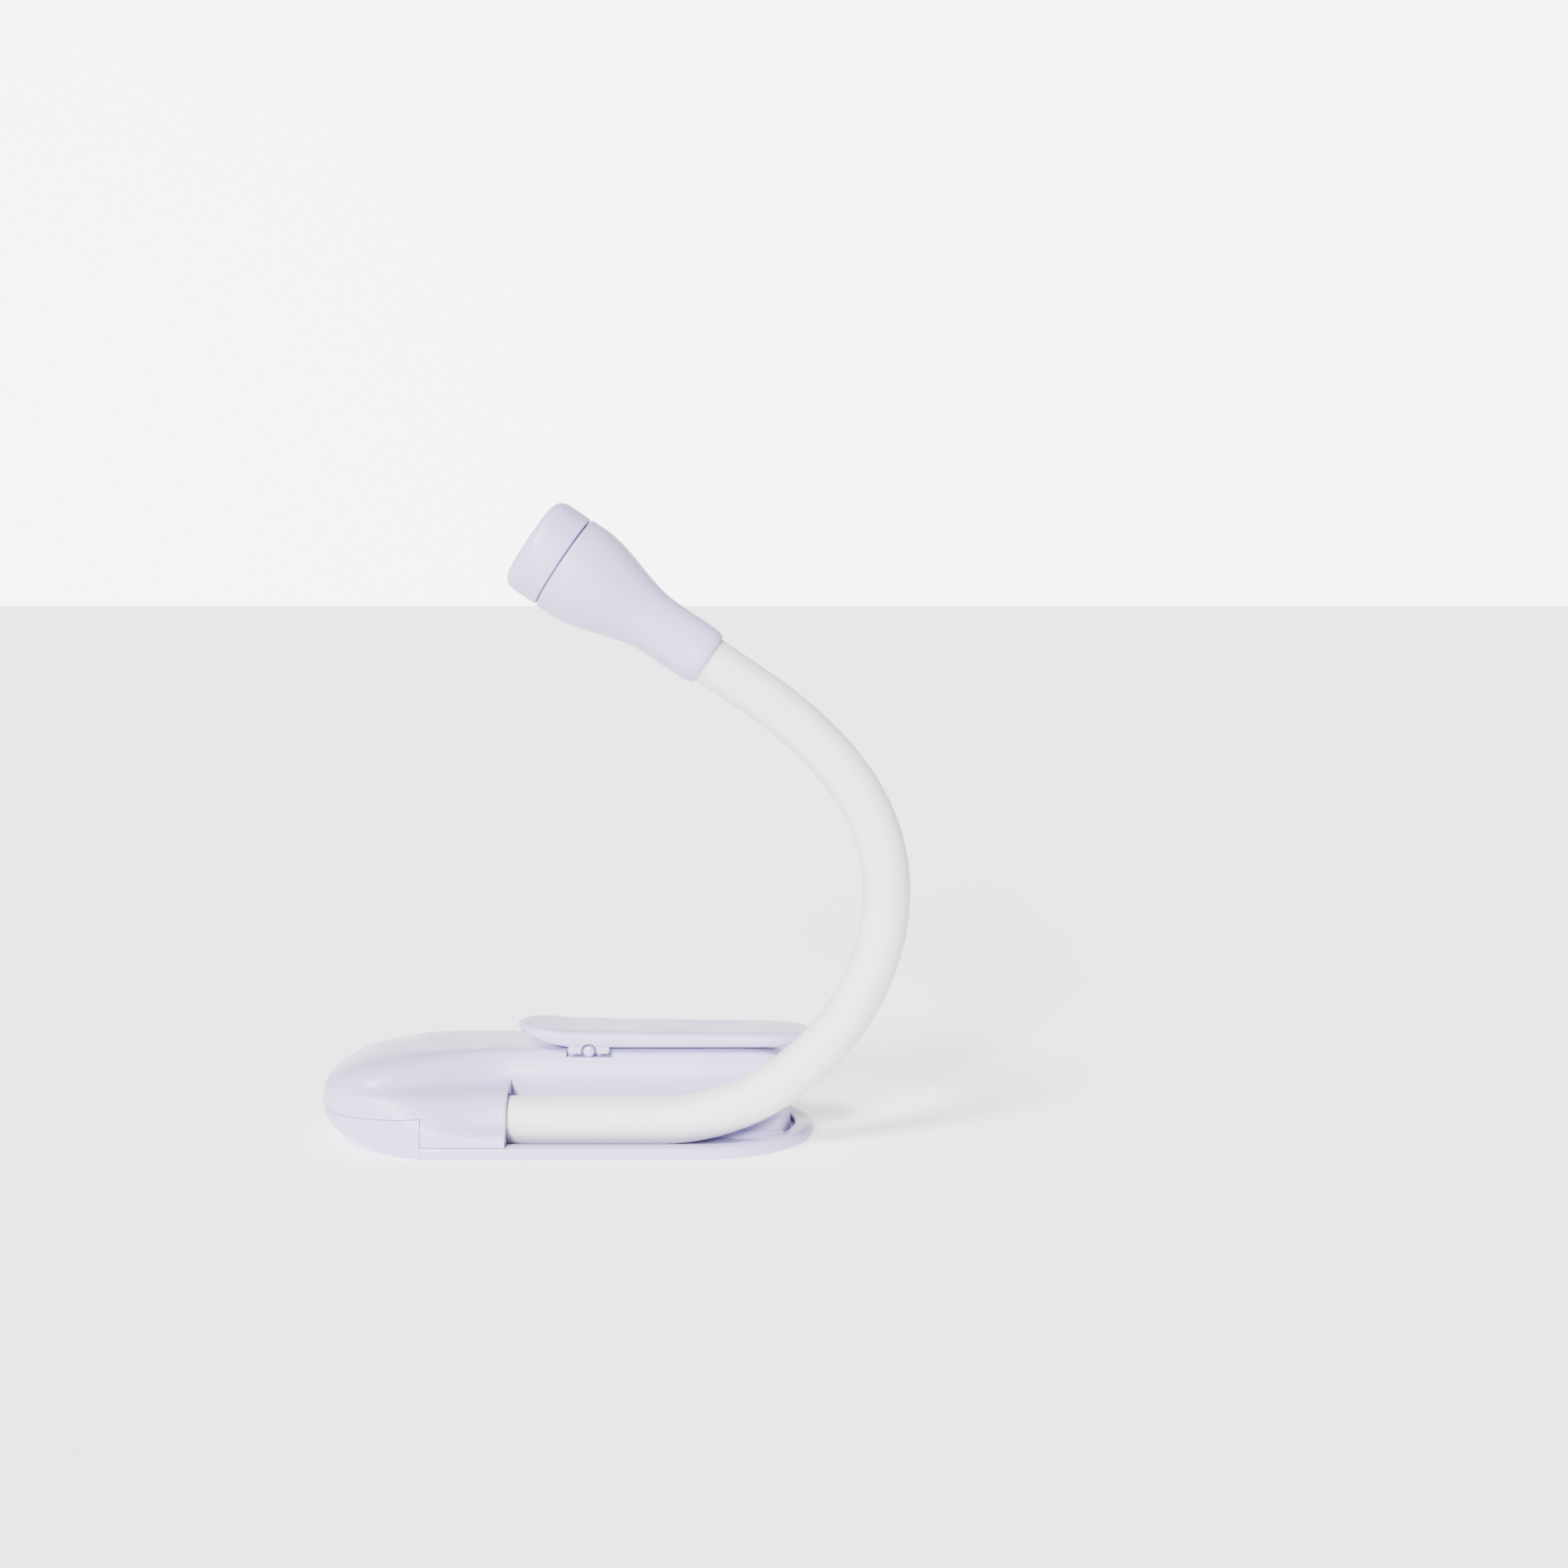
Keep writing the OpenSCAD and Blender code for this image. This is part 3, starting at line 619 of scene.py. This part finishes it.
def pad_form():
    """Thin silicone pad with cross ribs on its gripping face."""
    top, low = LEVER_BOTTOM - 0.02, LEVER_BOTTOM - 0.45
    outline_x = np.linspace(24.2, 36.8, 85)
    ribs = low + 0.16 * (0.5 + 0.5 * np.cos((outline_x - 24.2) * 2 * math.pi / 1.05))
    section = [(24.0, top - 0.1)] + list(zip(outline_x, ribs)) + [(37.0, top - 0.1), (36.9, top), (24.1, top)]
    rings = []
    for y, pull in ((-4.0, 0.12), (-3.88, 0.0), (3.88, 0.0), (4.0, 0.12)):
        rings.append([(x, y, z + pull * (1 if z < top - 0.2 else 0)) for x, z in section])
    return loft("grip_pad", rings, 60)


pad = pad_form()


def knob_form():
    """Switch knob: a soft-edged bar with grip ridges, its guide plate and the switch's finger."""
    half, top, bottom, x0 = 1.5, 8.1, 5.9, KNOB_X
    faces_x = np.linspace(x0 - half, x0 + half, 41)
    rings = []
    levels = [(bottom, 0.25), (bottom + 0.08, 0.08), (bottom + 0.25, 0)]
    levels += [(top - 0.25, 0), (top - 0.08, 0.08), (top, 0.25)]
    for z, pull in levels:
        front = []
        for x in faces_x:
            edge = max(0.0, abs(x - x0) - half + 0.25) / 0.25
            ridge = 0.16 * max(0.0, math.cos((x - x0) * 2 * math.pi / 0.8)) * (1 - edge)
            front.append((x, 20.64 + ridge - pull - 0.25 * (1 - math.sqrt(max(0, 1 - edge ** 2))), z))
        rings.append([(x0 - half, 17.6, z)] + front + [(x0 + half, 17.6, z)])
    knob = loft("knob_body", rings, 35)
    guide = block((x0 - 4.5, 17.4, 5.1), (x0 + 4.5, 18.2, 8.9))
    finger = block((x0 - 0.8, 15.5, 6.3), (x0 + 0.8, 17.5, 7.7))
    return carve(knob, "UNION", guide, finger)


knob = knob_form()
shade(knob, 35)


# ---- neck ----

def neck_path():
    """Centreline of the neck as (x, z, heading) at every joint, from the start of link 1."""
    x, z, heading = NECK_START, NECK_Z, 0.0
    path = [(x, z, heading)]
    for bend in BENDS:
        r = LINK_LEN / math.radians(bend)
        after = heading + bend
        x += r * (math.sin(math.radians(after)) - math.sin(math.radians(heading)))
        z += r * (math.cos(math.radians(heading)) - math.cos(math.radians(after)))
        heading = after
        path.append((x, z, heading))
    return path


JOINTS = neck_path()


def neck_point(s):
    """Point and heading at s millimetres along the neck, where s is 0 at the first joint."""
    if s <= 0:
        return NECK_START + s, NECK_Z, 0.0
    i = min(int(s / LINK_LEN), len(BENDS))
    x, z, heading = JOINTS[i]
    rest = s - i * LINK_LEN
    h = math.radians(heading)
    if i == len(BENDS):
        return x + rest * math.cos(h), z + rest * math.sin(h), heading
    turn = math.radians(BENDS[i]) * rest / LINK_LEN
    r = LINK_LEN / math.radians(BENDS[i])
    x += r * (math.sin(h + turn) - math.sin(h))
    z += r * (math.cos(h) - math.cos(h + turn))
    return x, z, heading + math.degrees(turn)


def tube(name, s0, s1, segments=64):
    """A closed length of the hollow sleeve from s0 to s1 along the neck."""
    steps = max(4, int(round((s1 - s0) / 0.55)))

    def ring(s, r):
        x, z, heading = neck_point(s)
        h = math.radians(heading)
        return [
            (x - r * math.cos(a) * math.sin(h), NECK_Y + r * math.sin(a), z + r * math.cos(a) * math.cos(h))
            for a in np.linspace(0, 2 * math.pi, segments, endpoint=False)
        ]
    along = np.linspace(s0, s1, steps + 1)
    rings = [ring(s, SLEEVE_R) for s in along] + [ring(s, SLEEVE_BORE_R) for s in reversed(along)]
    return loft(name, rings, 45, closed=True)


def sleeve_pieces():
    """The sleeve as one tube per joint, from the middle of one link to the middle of the next."""
    pieces = []
    for i in range(12):
        first = SOCKET_X - 6.2 - NECK_START if i == 0 else (i - 0.5) * LINK_LEN
        last = 12 * LINK_LEN + 4.8 if i == 11 else (i + 0.5) * LINK_LEN
        piece = tube(f"neck_tube_{i}", first, last)
        x0, z0, _ = neck_point((i - 0.5) * LINK_LEN)
        x1, z1, _ = neck_point((i + 0.5) * LINK_LEN)
        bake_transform(piece)
        pieces.append(piece)
    return pieces


sleeves = sleeve_pieces()


# ---- lamp head ----

HEAD_X, HEAD_Z, HEAD_HEADING = neck_point(12 * LINK_LEN)
HEAD_TURN = Matrix.Rotation(math.radians(90 - HEAD_HEADING), 4, "Y")
HEAD = Matrix.Translation((HEAD_X, NECK_Y, HEAD_Z)) @ HEAD_TURN


def head_radius(s):
    if s < 2.2:
        return 4.35 + 0.75 * math.sqrt(1 - (1 - s / 2.2) ** 2)
    return 5.1 + 3.5 * float(smoothstep(s, 9.5, 26.5))


def head_shell_profile():
    lip = 0.25
    profile = [(4.16, 0.6), (4.2, 0.2), (4.35, 0.02)]
    profile += [(head_radius(s), s) for s in 2.2 * (1 - np.cos(np.linspace(0.15, math.pi / 2, 9)))]
    profile += [(head_radius(s), s) for s in np.linspace(3, SHELL_END - lip, 44)]
    profile += [
        (head_radius(SHELL_END) - lip * (1 - math.cos(a)), SHELL_END - lip + lip * math.sin(a))
        for a in np.linspace(0.3, math.pi / 2, 5)
    ]
    profile += [(7.4, SHELL_END), (7.4, SHELL_END + 3), (6.4, SHELL_END + 3), (6.4, SHELL_END)]
    profile += [(head_radius(s) - 1.3, s) for s in np.linspace(SHELL_END - 0.5, 13, 16)]
    profile += [(3.25, 10.2), (3.25, 6.0), (1.25, 6.0), (1.25, 5.0), (4.16, 5.0)]
    return profile


def bezel_profile():
    """Front ring: a small lip at the groove, and a soft rounded front edge with a recess for the lens."""
    back, rim, lip, r = SHELL_END + 0.3, HEAD_LEN, 0.25, 2.3
    profile = [(7.45, back), (HEAD_R - lip, back)]
    profile += [
        (HEAD_R - lip + lip * math.sin(a), back + lip * (1 - math.cos(a)))
        for a in np.linspace(0.3, math.pi / 2, 5)
    ]
    profile += [(HEAD_R + 0.03 - 0.05 * u, back + lip + (rim - r - back - lip) * u) for u in (0.3, 0.6, 1.0)]
    profile += [
        (HEAD_R - 0.02 - r * (1 - math.cos(a)), rim - r + r * math.sin(a))
        for a in np.linspace(0.12, 1.25, 12)
    ]
    recess = [(6.7, 0.1), (6.45, 0.2), (6.4, 0.45), (6.4, 1.7), (7.15, 1.7), (7.15, 3.2), (7.45, 3.2)]
    return profile + [(radius, rim - depth) for radius, depth in recess]


head_shell = lathe("head_shell_body", head_shell_profile(), HEAD, 128, 30)
bezel = lathe("head_ring_body", bezel_profile(), HEAD, 128, 40)



def lens_profile():
    """Clear disc with a soft edge and a front that is domed a little."""
    back = SHELL_END + 3.8
    edge = [(0.02, 0), (7.0, 0), (7.08, 0.1), (7.08, 1.2), (6.95, 1.35), (6.35, 1.38)]
    profile = [(r, back + depth) for r, depth in edge]
    dome = (6.3, 5.5, 4.6, 3.6, 2.6, 1.6, 0.8, 0.02)
    return profile + [(r, back + 1.4 + 0.55 * (1 - (r / 6.35) ** 2)) for r in dome]


def reflector_profile():
    """Bowl that widens quickly at the LED and ends in a flat rim behind the lens."""
    profile = [(1.9, SHELL_END - 2.5), (2.6, SHELL_END - 2.5)]
    profile += [(2.6 + 3.5 * u ** 0.72, SHELL_END - 2.5 + 5.6 * u) for u in np.linspace(0.1, 1, 10)]
    profile += [(6.1, SHELL_END + 3.7), (5.5, SHELL_END + 3.7)]
    profile += [(1.9 + 3.5 * u ** 0.72, SHELL_END - 2.1 + 5.5 * u) for u in np.linspace(0.98, 0, 12)]
    return profile


def led_profile():
    """Round package with a dome of phosphor on it."""
    back, dome = SHELL_END - 3, SHELL_END - 2.1
    profile = [(0.02, back), (1.75, back), (1.75, SHELL_END - 2.2), (1.65, dome), (1.42, dome)]
    profile += [
        (1.38 * math.cos(a), dome + 1.0 * math.sin(a))
        for a in np.linspace(0.05, math.pi / 2 - 0.02, 9)
    ]
    return profile


lens = lathe("lens_body", lens_profile(), HEAD, 96, 40)
reflector = lathe("reflector_body", reflector_profile(), HEAD, 96, 30)
led = lathe("led_body", led_profile(), HEAD, 64, 30)


def cell_profile(z):
    """Coin cell: rolled can edge, a step for the seal, and the smaller cap on top."""
    can = [(0.02, 0), (9.3, 0), (9.75, 0.12), (CELL_R, 0.45), (CELL_R, 2.45), (9.8, 2.75), (9.4, 2.8)]
    seal = [(9.2, 2.7), (8.85, 2.7)]
    cap = [(8.8, 3.0), (8.6, 3.2), (5.6, 3.2), (5.4, 3.14), (0.02, 3.14)]
    return [(r, z + height) for r, height in can + seal + cap]


cell_place = Matrix.Translation((CELL_X, 0, 0))
cells = [
    lathe(f"coin_cell_body_{k}", cell_profile(CELL_FLOOR + CELL_STEP * k), cell_place, 96, 25)
    for k in (0, 1)
]


# ---- materials ----

def new_material(name):
    material = bpy.data.materials.new(name)
    material.use_nodes = True
    nodes, links = material.node_tree.nodes, material.node_tree.links
    return material, nodes, links, nodes["Principled BSDF"]


def grain(nodes, links, shader, scale, strength, distance, detail=3.0):
    """Fine surface texture as bump, from noise in object space."""
    coordinates = nodes.new("ShaderNodeTexCoord")
    noise = nodes.new("ShaderNodeTexNoise")
    noise.inputs["Scale"].default_value = scale
    noise.inputs["Detail"].default_value = detail
    bump = nodes.new("ShaderNodeBump")
    bump.inputs["Strength"].default_value = strength
    bump.inputs["Distance"].default_value = distance
    links.new(coordinates.outputs["Object"], noise.inputs["Vector"])
    links.new(noise.outputs["Fac"], bump.inputs["Height"])
    links.new(bump.outputs["Normal"], shader.inputs["Normal"])
    return coordinates


def mottled(nodes, links, shader, coordinates, low, high, scale):
    """Base colour that drifts slowly between two close tones."""
    noise = nodes.new("ShaderNodeTexNoise")
    noise.inputs["Scale"].default_value = scale
    noise.inputs["Detail"].default_value = 4
    ramp = nodes.new("ShaderNodeValToRGB")
    ramp.color_ramp.elements[0].position = 0.3
    ramp.color_ramp.elements[1].position = 0.7
    ramp.color_ramp.elements[0].color = (*low, 1)
    ramp.color_ramp.elements[1].color = (*high, 1)
    links.new(coordinates.outputs["Object"], noise.inputs["Vector"])
    links.new(noise.outputs["Fac"], ramp.inputs["Fac"])
    links.new(ramp.outputs["Color"], shader.inputs["Base Color"])


def roughness_drift(nodes, links, shader, coordinates, low, high, scale):
    noise = nodes.new("ShaderNodeTexNoise")
    noise.inputs["Scale"].default_value = scale
    spread = nodes.new("ShaderNodeMapRange")
    spread.inputs["From Min"].default_value = 0.3
    spread.inputs["From Max"].default_value = 0.7
    spread.inputs["To Min"].default_value = low
    spread.inputs["To Max"].default_value = high
    links.new(coordinates.outputs["Object"], noise.inputs["Vector"])
    links.new(noise.outputs["Fac"], spread.inputs["Value"])
    links.new(spread.outputs["Result"], shader.inputs["Roughness"])


def moulded(
    name, low, high, rough, scale=5200, strength=0.10, distance=0.00004,
    metallic=0.0, drift=55, sheen=0.0,
):
    """A moulded or finished surface: fine grain, slow colour drift and uneven gloss."""
    material, nodes, links, shader = new_material(name)
    coordinates = grain(nodes, links, shader, scale, strength, distance)
    mottled(nodes, links, shader, coordinates, low, high, drift)
    roughness_drift(nodes, links, shader, coordinates, rough[0], rough[1], drift * 3)
    shader.inputs["Metallic"].default_value = metallic
    if sheen:
        shader.inputs["Sheen Weight"].default_value = sheen
        shader.inputs["Sheen Roughness"].default_value = 0.4
    return material


def satin_plastic():
    material = moulded("satin_plastic", (0.485, 0.44, 0.70), (0.505, 0.46, 0.72), (0.32, 0.4))
    shader = material.node_tree.nodes["Principled BSDF"]
    shader.inputs["Subsurface Weight"].default_value = 0.03
    shader.inputs["Subsurface Radius"].default_value = (0.0014, 0.0012, 0.0013)
    shader.inputs["Subsurface Scale"].default_value = 1.0
    return material


def sleeve_silicone():
    material = moulded(
        "sleeve_silicone", (0.73, 0.71, 0.73), (0.76, 0.74, 0.755), (0.5, 0.6),
        7000, 0.12, 0.00003, sheen=0.15,
    )
    shader = material.node_tree.nodes["Principled BSDF"]
    shader.inputs["Subsurface Weight"].default_value = 0.06
    shader.inputs["Subsurface Radius"].default_value = (0.0018, 0.0015, 0.0015)
    shader.inputs["Subsurface Scale"].default_value = 1.0
    return material


def brushed_metal(name, tone, rough):
    """Metal with fine scratches that run one way."""
    material, nodes, links, shader = new_material(name)
    coordinates = nodes.new("ShaderNodeTexCoord")
    stretch = nodes.new("ShaderNodeMapping")
    stretch.inputs["Scale"].default_value = (1.0, 14.0, 14.0)
    noise = nodes.new("ShaderNodeTexNoise")
    noise.inputs["Scale"].default_value = 1400
    bump = nodes.new("ShaderNodeBump")
    bump.inputs["Strength"].default_value = 0.15
    bump.inputs["Distance"].default_value = 0.00003
    links.new(coordinates.outputs["Object"], stretch.inputs["Vector"])
    links.new(stretch.outputs["Vector"], noise.inputs["Vector"])
    links.new(noise.outputs["Fac"], bump.inputs["Height"])
    links.new(bump.outputs["Normal"], shader.inputs["Normal"])
    mottled(nodes, links, shader, coordinates, tuple(0.9 * c for c in tone), tone, 220)
    roughness_drift(nodes, links, shader, coordinates, rough - 0.06, rough + 0.08, 500)
    shader.inputs["Metallic"].default_value = 1.0
    return material


def clear_lens():
    material, nodes, links, shader = new_material("clear_lens")
    coordinates = grain(nodes, links, shader, 900, 0.03, 0.00002, 1.0)
    mottled(nodes, links, shader, coordinates, (0.93, 0.95, 0.97), (0.97, 0.98, 0.99), 60)
    shader.inputs["Transmission Weight"].default_value = 1.0
    shader.inputs["Roughness"].default_value = 0.06
    shader.inputs["IOR"].default_value = 1.49
    return material


def dress(material, slot_name, *objs):
    """Gives each piece or CAD node its material; slot_name is not used."""
    for obj in objs:
        obj.data.materials.clear()
        obj.data.materials.append(material)


nodes = frame["nodes"]
plastic = satin_plastic()
silicone = sleeve_silicone()
pad_rubber = moulded("pad_silicone", (0.5, 0.5, 0.51), (0.56, 0.56, 0.57), (0.55, 0.65), 6000, 0.2)
plated = brushed_metal("plated_steel", (0.62, 0.62, 0.61), 0.3)
spring_steel = brushed_metal("spring_steel", (0.5, 0.5, 0.52), 0.28)
cell_steel = brushed_metal("cell_case", (0.66, 0.66, 0.64), 0.24)
laminate = moulded(
    "board_laminate", (0.012, 0.07, 0.03), (0.02, 0.1, 0.045), (0.25, 0.35), 2600, 0.2, drift=240,
)
epoxy = moulded("chip_epoxy", (0.015, 0.015, 0.016), (0.03, 0.03, 0.032), (0.4, 0.55), 5000, 0.3)
lacquer = moulded("resistor_lacquer", (0.5, 0.36, 0.19), (0.6, 0.45, 0.26), (0.25, 0.35), 3000, 0.15)
insulation = moulded("lead_insulation", (0.6, 0.58, 0.55), (0.68, 0.66, 0.63), (0.35, 0.45), 4000, 0.1)
white_board = moulded("board_white", (0.72, 0.72, 0.7), (0.8, 0.8, 0.78), (0.4, 0.5), 3500, 0.15)
phosphor = moulded("led_phosphor", (0.78, 0.66, 0.2), (0.86, 0.76, 0.32), (0.25, 0.35), 3000, 0.1)
chrome = moulded(
    "reflector_chrome", (0.82, 0.82, 0.83), (0.86, 0.86, 0.87), (0.08, 0.14), 2500, 0.08, metallic=1.0,
)

dress(plastic, "body_plastic", pod, plate, door, lever, knob, pin, head_shell, bezel)
dress(silicone, "sleeve_silicone", *sleeves)
dress(pad_rubber, "pad_silicone", pad)
dress(spring_steel, "spring_steel", spring, nodes["cell_contact_side"], nodes["cell_contact_top"])
dress(plated, "plated_steel", nodes["shell_screws"], nodes["switch_housing"])
dress(plated, "plated_steel", nodes["neck_clamp"], nodes["head_ferrule"])
dress(plated, "plated_steel", *[nodes[f"neck_core_{i}"] for i in range(13)])
dress(cell_steel, "cell_case", *cells)
dress(laminate, "board_laminate", nodes["circuit_board"])
dress(epoxy, "component_black", nodes["driver_chip"])
dress(lacquer, "resistor_body", nodes["resistor"])
dress(insulation, "lead_insulation", nodes["power_leads"])
dress(white_board, "head_board_white", nodes["head_board"])
dress(phosphor, "led_phosphor", led)
dress(chrome, "reflector_chrome", reflector)
dress(clear_lens(), "lens_clear", lens)

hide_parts("pod_shell")
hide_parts("base_plate")
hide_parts("battery_door")
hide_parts("clip_lever")
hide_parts("hinge_pin")
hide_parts("torsion_spring")
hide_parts("jaw_pad")
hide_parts("switch_knob")
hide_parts("head_shell")
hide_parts("head_bezel")
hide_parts("head_lens")
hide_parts("head_reflector")
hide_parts("head_led")
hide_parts("coin_cell_lower")
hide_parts("coin_cell_upper")
for i, piece in enumerate(sleeves):
    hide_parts(f"neck_sleeve_{i}")
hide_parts("neck_sleeve_12")

for piece in (pod, plate, pin, *cells):
    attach(piece, "base")
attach(door, "door")
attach(knob, "switch")
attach(lever, "clip")
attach(pad, "clip")
for piece in (head_shell, bezel, lens, reflector, led):
    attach(piece, "head")
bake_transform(spring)


# ---- stage, light and camera ----

def light_table():
    """White paper with a soft glow of its own, so that the floor is almost as pale as the backdrop."""
    material = moulded("floor_paper", (0.92, 0.92, 0.92), (0.95, 0.95, 0.95), (0.7, 0.8), 900, 0.05)
    shader = material.node_tree.nodes["Principled BSDF"]
    shader.inputs["Emission Color"].default_value = (1.0, 1.0, 1.0, 1.0)
    shader.inputs["Emission Strength"].default_value = 1.3
    return material


def studio_floor():
    """A wide flat sheet, 6 metres across."""
    steps = 12
    marks = np.linspace(-3000, 3000, steps + 1)
    points = [(x, y, 0.0) for y in marks for x in marks]
    faces = []
    for k in range(steps):
        for i in range(steps):
            a = k * (steps + 1) + i
            faces.append((a, a + 1, a + steps + 2, a + steps + 1))
    floor = mesh("studio_floor", points, faces)
    floor.data.materials.append(light_table())
    return floor


def sun_light(name, azimuth, elevation, strength, spread):
    """Soft parallel light from azimuth degrees left of the camera, elevation degrees above the floor."""
    data = bpy.data.lights.new(name, "SUN")
    data.energy = strength
    data.angle = math.radians(spread)
    light = bpy.data.objects.new(name, data)
    a, e = math.radians(azimuth), math.radians(elevation)
    source = Vector((-math.sin(a) * math.cos(e), -math.cos(a) * math.cos(e), math.sin(e)))
    light.location = source
    light.rotation_mode = "QUATERNION"
    light.rotation_quaternion = (-source).to_track_quat("-Z", "Y")
    bpy.context.scene.collection.objects.link(light)
    return light


def ramp_node(nodes, links, source, low, high, at_low, at_high):
    node = nodes.new("ShaderNodeMapRange")
    node.interpolation_type = "SMOOTHSTEP"
    node.inputs["From Min"].default_value = low
    node.inputs["From Max"].default_value = high
    node.inputs["To Min"].default_value = at_low
    node.inputs["To Max"].default_value = at_high
    links.new(source, node.inputs["Value"])
    return node.outputs["Result"]


def product(nodes, links, first, second):
    node = nodes.new("ShaderNodeMath")
    node.operation = "MULTIPLY"
    links.new(first, node.inputs[0])
    links.new(second, node.inputs[1])
    return node.outputs["Value"]


def total(nodes, links, first, second):
    node = nodes.new("ShaderNodeMath")
    node.operation = "ADD"
    links.new(first, node.inputs[0])
    links.new(second, node.inputs[1])
    return node.outputs["Value"]


def studio_world():
    """Dim surroundings, darker overhead and to the right, with a bright backdrop straight behind."""
    world = bpy.data.worlds.new("studio_world")
    bpy.context.scene.world = world
    world.use_nodes = True
    nodes, links = world.node_tree.nodes, world.node_tree.links
    coordinates = nodes.new("ShaderNodeTexCoord")
    split = nodes.new("ShaderNodeSeparateXYZ")
    links.new(coordinates.outputs["Generated"], split.inputs["Vector"])
    x, y, z = (split.outputs[axis] for axis in "XYZ")
    height = ramp_node(nodes, links, z, 0.05, 0.6, 0.8, 0.05)
    sideways = ramp_node(nodes, links, x, -0.3, 0.5, 1.0, 0.08)
    backdrop = ramp_node(nodes, links, y, 0.8, 0.93, 0.0, 6.5)
    backdrop_top = ramp_node(nodes, links, z, 0.22, 0.42, 1.0, 0.0)
    surroundings = product(nodes, links, height, sideways)
    strength = total(nodes, links, surroundings, product(nodes, links, backdrop, backdrop_top))
    background = nodes["Background"]
    background.inputs["Color"].default_value = (1.0, 1.0, 1.0, 1)
    links.new(strength, background.inputs["Strength"])


def studio():
    studio_world()
    sun_light("key_light", 32, 46, 6.6, 16)
    sun_light("front_light", 14, 20, 6.6, 12)


def camera():
    """Looks along +Y and 5.9 degrees down, so the base is seen from above and the head almost level."""
    data = bpy.data.cameras.new("photo_camera")
    data.sensor_width = 36.0
    data.lens = 56.6
    data.clip_start = 0.01
    data.clip_end = 20
    cam = bpy.data.objects.new("photo_camera", data)
    bpy.context.scene.collection.objects.link(cam)
    tilt = math.radians(5.9)
    aim = Vector((0.0379, 0.0, 0.06196))
    cam.location = aim - 0.430 * Vector((0, math.cos(tilt), -math.sin(tilt)))
    cam.rotation_euler = (math.radians(90) - tilt, 0, 0)
    bpy.context.scene.camera = cam


studio_floor()
studio()
camera()
